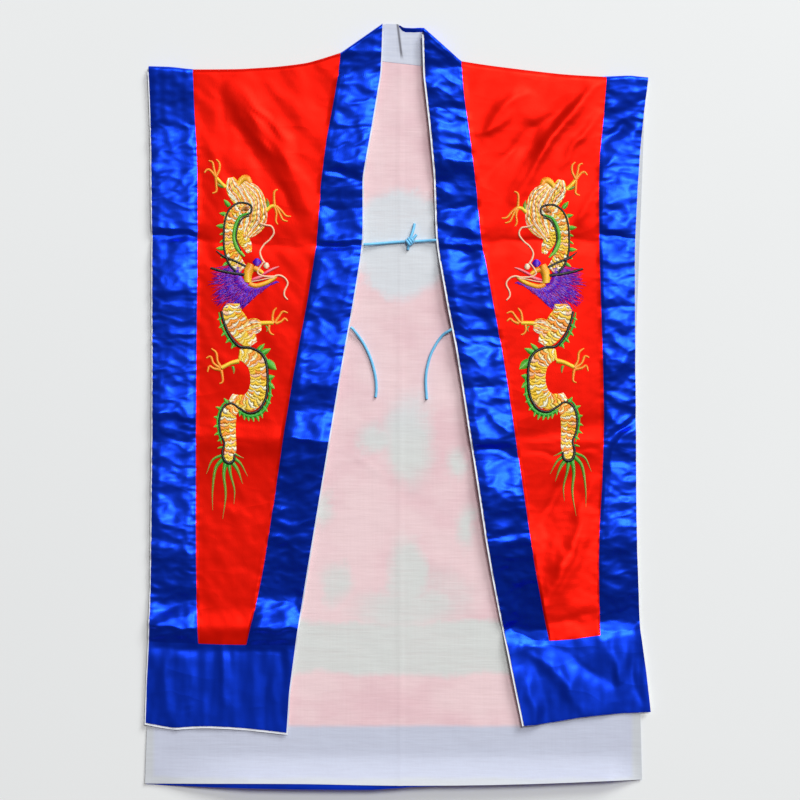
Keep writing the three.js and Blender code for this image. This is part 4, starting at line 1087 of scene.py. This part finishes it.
class Stitches:
    """Strands gathered into one mesh. Each is a thin closed prism, arched between its two ends."""

    def __init__(self, seed):
        self.random = np.random.default_rng(seed)
        self.rows = []

    def add(self, starts, ends, rise, layer, colours, thickness=STITCH_THICK):
        count = len(starts)
        tint = np.array([THREAD_COLOURS[c] for c in colours]) if isinstance(colours[0], str) else colours
        tint = np.array(tint) * self.random.uniform(0.94, 1.1, (count, 1))
        full = [np.broadcast_to(value, count)[:, None] for value in (rise, layer * LAYER, thickness)]
        self.rows.append(np.hstack([starts, ends, *full, tint]))

    def across(self, points, colour, layer=1, end_colour=None, slant=0.35):
        """Satin stitch: strands laid side by side across a path."""
        band = Band(points)
        middle = np.arange(THREAD / 2, band.length[-1], STITCH_STEP)
        reach = slant * band.width(middle) / 2
        wobble = self.random.uniform(-0.06, 0.06, (2, len(middle)))
        starts = band.at(middle - reach, -1 + wobble[0])
        ends = band.at(middle + reach, 1 + wobble[1])
        share = (middle / band.length[-1])[:, None]
        colours = np.array(THREAD_COLOURS[colour]) * (1 - share)
        colours = colours + np.array(THREAD_COLOURS[end_colour or colour]) * share
        self.add(starts, ends, 0.22 + 0.05 * band.width(middle), layer, colours)

    def scales(self, points, row=9.5, layer=0):
        """Rows of scales that overlap like tiles, each pale at its rim and warm at its root."""
        band = Band(points)
        lanes = int(band.line[:, 2].max() / THREAD)
        rows = int(band.length[-1] / row) + 2
        rims = ("white", "white", "blush", "white", "cream", "yellow")
        roots = ("yellow", "orange", "yellow", "orange", "yellow", "orange")
        rim = self.random.integers(0, len(rims), (rows + 1, 4))
        root = self.random.integers(0, len(roots), (rows + 1, 4))
        for lane in range(lanes):
            share = (lane + 0.5) / lanes * 2 - 1
            across = (share + 1) * 0.8 + 0.5 * (np.arange(rows + 1) % 2)
            which = across.astype(int)
            bulge = np.sqrt(1 - (2 * (across - which) - 1) ** 2 * 0.96)
            breaks = (np.arange(rows + 1) - 0.9 + 0.75 * bulge) * row
            breaks = breaks + self.random.uniform(-0.6, 0.6, rows + 1)
            breaks = breaks.clip(0, band.length[-1])
            rim_share = 0.42 + 0.1 * self.random.uniform(-1, 1, rows)
            split = breaks[1:] - (breaks[1:] - breaks[:-1]) * rim_share
            padding = layer + PADDING * np.sqrt(1 - share**2)
            for first, last, names, index, lift in (
                (breaks[:-1], split, roots, root, 0), (split, breaks[1:], rims, rim, 0.35),
            ):
                kept = last - first > SHORTEST
                if kept.any():
                    colours = [names[index[i, which[i]]] for i in np.arange(rows)[kept]]
                    starts, ends = band.at(first, share)[kept], band.at(last, share)[kept]
                    self.add(starts, ends, 0.15, padding + lift, colours)

    def streaks(self, points, layer=0):
        """Long strands side by side, their colours running in wavy locks."""
        band = Band(points)
        widest = band.line[:, 2].max()
        lanes = int(widest / THREAD)
        names = ("white", "orange", "blush", "yellow", "cream", "orange", "white", "blush", "orange",
                 "yellow")
        for lane in range(lanes):
            share = (lane + 0.5) / lanes * 2 - 1
            breaks = np.arange(self.random.uniform(-STREAK, 0), band.length[-1] + STREAK, STREAK)
            breaks = (breaks + self.random.uniform(-2.5, 2.5, len(breaks))).clip(0, band.length[-1])
            first, last = breaks[:-1], breaks[1:]
            kept = last - first > SHORTEST
            middle = (first + last)[kept] / 2
            place = share * widest / 4.6 + 0.55 * np.sin(middle / 6.5 + 2 * share) + 4
            colours = [names[int(p) % len(names)] for p in place]
            padding = layer + PADDING * np.sqrt(1 - share**2)
            self.add(band.at(first, share)[kept], band.at(last, share)[kept], 0.18, padding, colours)

    def strands(self, roots, tips, count, names, layer=1):
        """Long loose-looking strands from one line to another, in three stitches each."""
        root_length, root_line = spline(roots)
        tip_length, tip_line = spline(tips)
        share = np.sort(self.random.uniform(0, 1, count))
        own = (share + self.random.normal(0, 0.035, count)).clip(0, 1)

        def on(length, line, at):
            return np.stack([np.interp(at * length[-1], length, line[:, i]) for i in range(2)], 1)

        start, end = on(root_length, root_line, share), on(tip_length, tip_line, own)
        end = start + (end - start) * self.random.uniform(0.5, 1.06, (count, 1))
        turned = np.stack([start[:, 1] - end[:, 1], end[:, 0] - start[:, 0]], 1)
        bow = self.random.normal(0, 0.07, (count, 1)) * turned
        colours = np.array([THREAD_COLOURS[names[i]] for i in self.random.integers(0, len(names), count)])
        places = [start + (end - start) * t + bow * 4 * t * (1 - t) for t in (0, 0.33, 0.67, 1)]
        for i, thickness in enumerate((1.25, 1.05, 0.75)):
            rise = self.random.uniform(0.35, 0.8, count)
            self.add(places[i], places[i + 1], rise, layer - 0.3 * i, colours, thickness)

    def piece(self, name, lie, middle, turned, finish):
        """Lays all the strands on a front and makes them one object."""
        rows = np.vstack(self.rows)
        height, slant = DRAGON_SET["left" if turned else "right"]
        rows[:, [0, 2]] *= -1 if turned else 1
        rows[:, [1, 3]] *= height
        rows[:, [0, 2]] -= slant * (rows[:, [1, 3]] - FIGURE_FOOT)
        rows[:, [0, 2]] += middle[0]
        rows[:, [1, 3]] += middle[1]
        start, end = rows[:, 0:2], rows[:, 2:4]
        rise, level, thick = rows[:, 4], rows[:, 5], rows[:, 6]
        run = end - start
        run /= np.maximum(np.hypot(*run.T), 1e-6)[:, None]
        side = np.stack([-run[:, 1], run[:, 0]], 1)
        rings = []
        for share, width_share in ((0, 0.55), (0.5, 1), (1, 0.55)):
            plan = start + (end - start) * share
            z = lie.height(plan[:, 0], plan[:, 1]) + level + rise * (1 - (2 * share - 1) ** 2)
            half = thick[:, None] * width_share / 2
            low = z - 0.15
            rings.append(np.column_stack([plan - side * half, low]))
            rings.append(np.column_stack([plan + side * half, low]))
            rings.append(np.column_stack([plan, low + 0.15 + thick * width_share * 0.11]))
        points = np.stack(rings, 1)
        faces = [(0, 2, 1), (6, 7, 8)]
        for ring in (0, 3):
            for i in range(3):
                j = (i + 1) % 3
                faces.append((ring + i, ring + j, ring + j + 3))
                faces.append((ring + i, ring + j + 3, ring + i + 3))
        faces = np.array(faces)
        all_faces = (faces[None] + 9 * np.arange(len(rows))[:, None, None]).reshape(-1, 3)
        mesh = bpy.data.meshes.new(name)
        mesh.vertices.add(points.shape[0] * 9)
        mesh.vertices.foreach_set("co", (points * MM).ravel())
        mesh.loops.add(all_faces.size)
        mesh.loops.foreach_set("vertex_index", all_faces.ravel().astype(np.int32))
        mesh.polygons.add(len(all_faces))
        mesh.polygons.foreach_set("loop_start", np.arange(0, all_faces.size, 3, dtype=np.int32))
        mesh.polygons.foreach_set("use_smooth", [True] * len(all_faces))
        mesh.update(calc_edges=True)
        tint = mesh.color_attributes.new("thread", "FLOAT_COLOR", "POINT")
        shades = np.column_stack([rows[:, 7:10], np.ones(len(rows))]).repeat(9, axis=0)
        tint.data.foreach_set("color", shades.ravel())
        mesh.materials.append(finish.material)
        piece = bpy.data.objects.new(name, mesh)
        bpy.context.scene.collection.objects.link(piece)
        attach(piece, "root")
        return piece


rayon = Finish("rayon_thread", Roughness=0.4, Specular_IOR_Level=0.9)
rayon.set("Base Color", rayon.wire.node("Attribute", {"attribute_name": "thread"}))

# The parts in the order in which they are laid: colour at the start and at the end, layer and slant.
LOWER_BODY = [
    ("fins", "green", "leaf", 0, 0.0), ("fringe", "green", "green", 0.3, 0.0),
    ("tail", "green", "olive", 0.5, 0.5), ("tufts", "green", "olive", 0, 0.35),
]
UPPER_BODY = [
    ("belly", "green", "leaf", 3.2, 0.35), ("hook", "olive", "rust", 3.2, 0.35),
    ("spine", "black", "black", 3.6, 0.35),
]
FACE = [
    ("horns", "black", "black", 3.4, 0.35), ("face", "orange", "yellow", 3, 0.35),
    ("tongue", "rose", "pink", 3.4, 0.35), ("eye", "indigo", "violet", 3.8, 0),
    ("nose", "white", "blush", 3.8, 0), ("lips", "blush", "blush", 4.2, 0.35),
    ("whiskers", "blush", "blush", 4.4, 0.35),
]


def lay(stitches, parts):
    """Lays some parts of the figure in satin stitch, one after another."""
    for part, colour, end_colour, layer, slant in parts:
        for path in DRAGON[part]:
            stitches.across(path, colour, layer, end_colour, slant)


for which in ("right", "left"):
    body, head = Stitches(7), Stitches(8)
    lay(body, LOWER_BODY)
    for path in DRAGON["streaked"]:
        body.streaks(path)
    for path in DRAGON["scaled"]:
        body.scales(path, layer=0.4)
    lay(body, [("cap", "yellow", "orange", 1.2, 0.35)])
    for path in DRAGON["legs"]:
        body.across(path, "orange" if len(path) > 3 else "yellow")
    lay(body, UPPER_BODY)
    head.strands(DRAGON["mane_roots"], DRAGON["mane_tips"], MANE_STRANDS, ("indigo", "violet", "plum"), 1.5)
    lay(head, FACE)
    pieces = [
        stitches.piece(f"{which}_dragon_{part}", lies[which], DRAGON_MIDDLE[which], which == "left", rayon)
        for stitches, part in ((body, "body"), (head, "head"))
    ]
    panel = bpy.data.objects[f"{which}_red_panel_cloth"]
    cut = lies[which].cuts["red_panel"]
    dress(panel, f"{which}_red_panel", cut)


# The ties: soft light blue satin cord, sewn to the open front edges. The upper pair is knotted, with
# one long tail standing towards the neck. The lower pair lies loose in two curves.
TIE_THICK = 4.4
TIE_ROUTES = {
    "right_upper_tie": [
        (-55, 258.1, 9.4), (-51, 258.3, 9.4), (-46, 258.6, 9.0), (-36, 259.4, 7.4), (-24, 260.4, 6),
        (-10, 261.6, 5.4), (2, 262.4, 5.6), (11, 263, 7.0),
    ],
    "left_upper_tie": [
        (61.5, 265.2, 9.4), (58, 265, 9.2), (54, 264.8, 8.8), (47, 264.4, 7.2), (40, 264, 6.4),
        (33, 263.6, 6.4), (27, 263.4, 7.2),
    ],
    "right_lower_tie": [
        (-76, 126, 9.4), (-72.6, 124, 9.0), (-69, 119.6, 8.2), (-63, 112, 6.4), (-57, 103.4, 5.2),
        (-50.8, 92.4, 5), (-44.4, 78, 5), (-38.8, 60, 5), (-35.4, 42, 5), (-34.6, 26, 5),
        (-35.6, 14.4, 5),
    ],
    "left_lower_tie": [
        (86.5, 123.4, 12.8), (84, 122, 12.6), (80, 119.4, 11.6), (73, 115, 8.4), (66, 107, 5.8),
        (59.6, 97, 5), (53, 84, 5), (48, 68, 5), (45, 52, 5), (44.4, 36, 5), (45.2, 22, 5),
        (46, 11.2, 5),
    ],
}

tie_cord = Finish("tie_cord", Roughness=0.5, Metallic=0.1)
tie_cord.set("Base Color", tie_cord.noise(220, detail=2).mix((0.13, 0.50, 0.86, 1), (0.24, 0.66, 0.96, 1)))
tie_cord.bump(tie_cord.noise(700, detail=2), 0.0004)


def cord(name, *routes):
    """A round cord along each route's places in mm, as a curve with its own thickness."""
    data = bpy.data.curves.new(name, "CURVE")
    data.dimensions = "3D"
    data.resolution_u = 6
    data.bevel_depth = TIE_THICK / 2 * MM
    data.bevel_resolution = 3
    data.use_fill_caps = True
    for route in routes:
        run = data.splines.new("BEZIER")
        run.bezier_points.add(len(route) - 1)
        for point, place in zip(run.bezier_points, route):
            point.co = [c * MM for c in place]
            point.handle_left_type = point.handle_right_type = "AUTO"
    piece = bpy.data.objects.new(name, data)
    bpy.context.scene.collection.objects.link(piece)
    data.materials.append(tie_cord.material)
    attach(piece, "root")
    return piece


# The knot: the two upper ties wind round each other, flattened where they are pulled tight, and leave
# three short tails with bare ends. How the cord runs inside it is hidden, and is guessed.
KNOT_MIDDLE = (19, 263.4, 7.8)
KNOT_TAILS = [
    [(17.4, 264.4, 9.6), (20.4, 270, 9.8), (22.6, 276, 8.6), (25, 284, 6.6), (26.4, 291.6, 5.2)],
    [(20, 262.6, 9.8), (24.4, 267.6, 10), (29.4, 273.8, 9)],
    [(19, 265, 9.4), (17.4, 258.6, 8.4), (16.4, 254.4, 6), (16, 250.2, 5.2)],
]


def winding(middle, radii, pitch, turns, lean):
    """The places along a cord that winds round the joined ties, flattened where it is pulled tight."""
    places = []
    for step in range(int(turns * 16) + 1):
        angle = 2 * np.pi * step / 16 - 1.2
        along = (step / 16 - turns / 2) * pitch
        off = radii[0] * np.sin(angle)
        x = along * np.cos(lean) - off * np.sin(lean)
        y = along * np.sin(lean) + off * np.cos(lean)
        places.append((middle[0] + x, middle[1] + y, middle[2] + radii[1] * np.cos(angle)))
    return places


knot = cord("tie_knot_cord", winding(KNOT_MIDDLE, (4.6, 2.8), 4.0, 2.3, 0.75), *KNOT_TAILS)
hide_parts("tie_knot")

for name, route in TIE_ROUTES.items():
    piece = cord(name + "_cord", route)
    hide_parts(name)
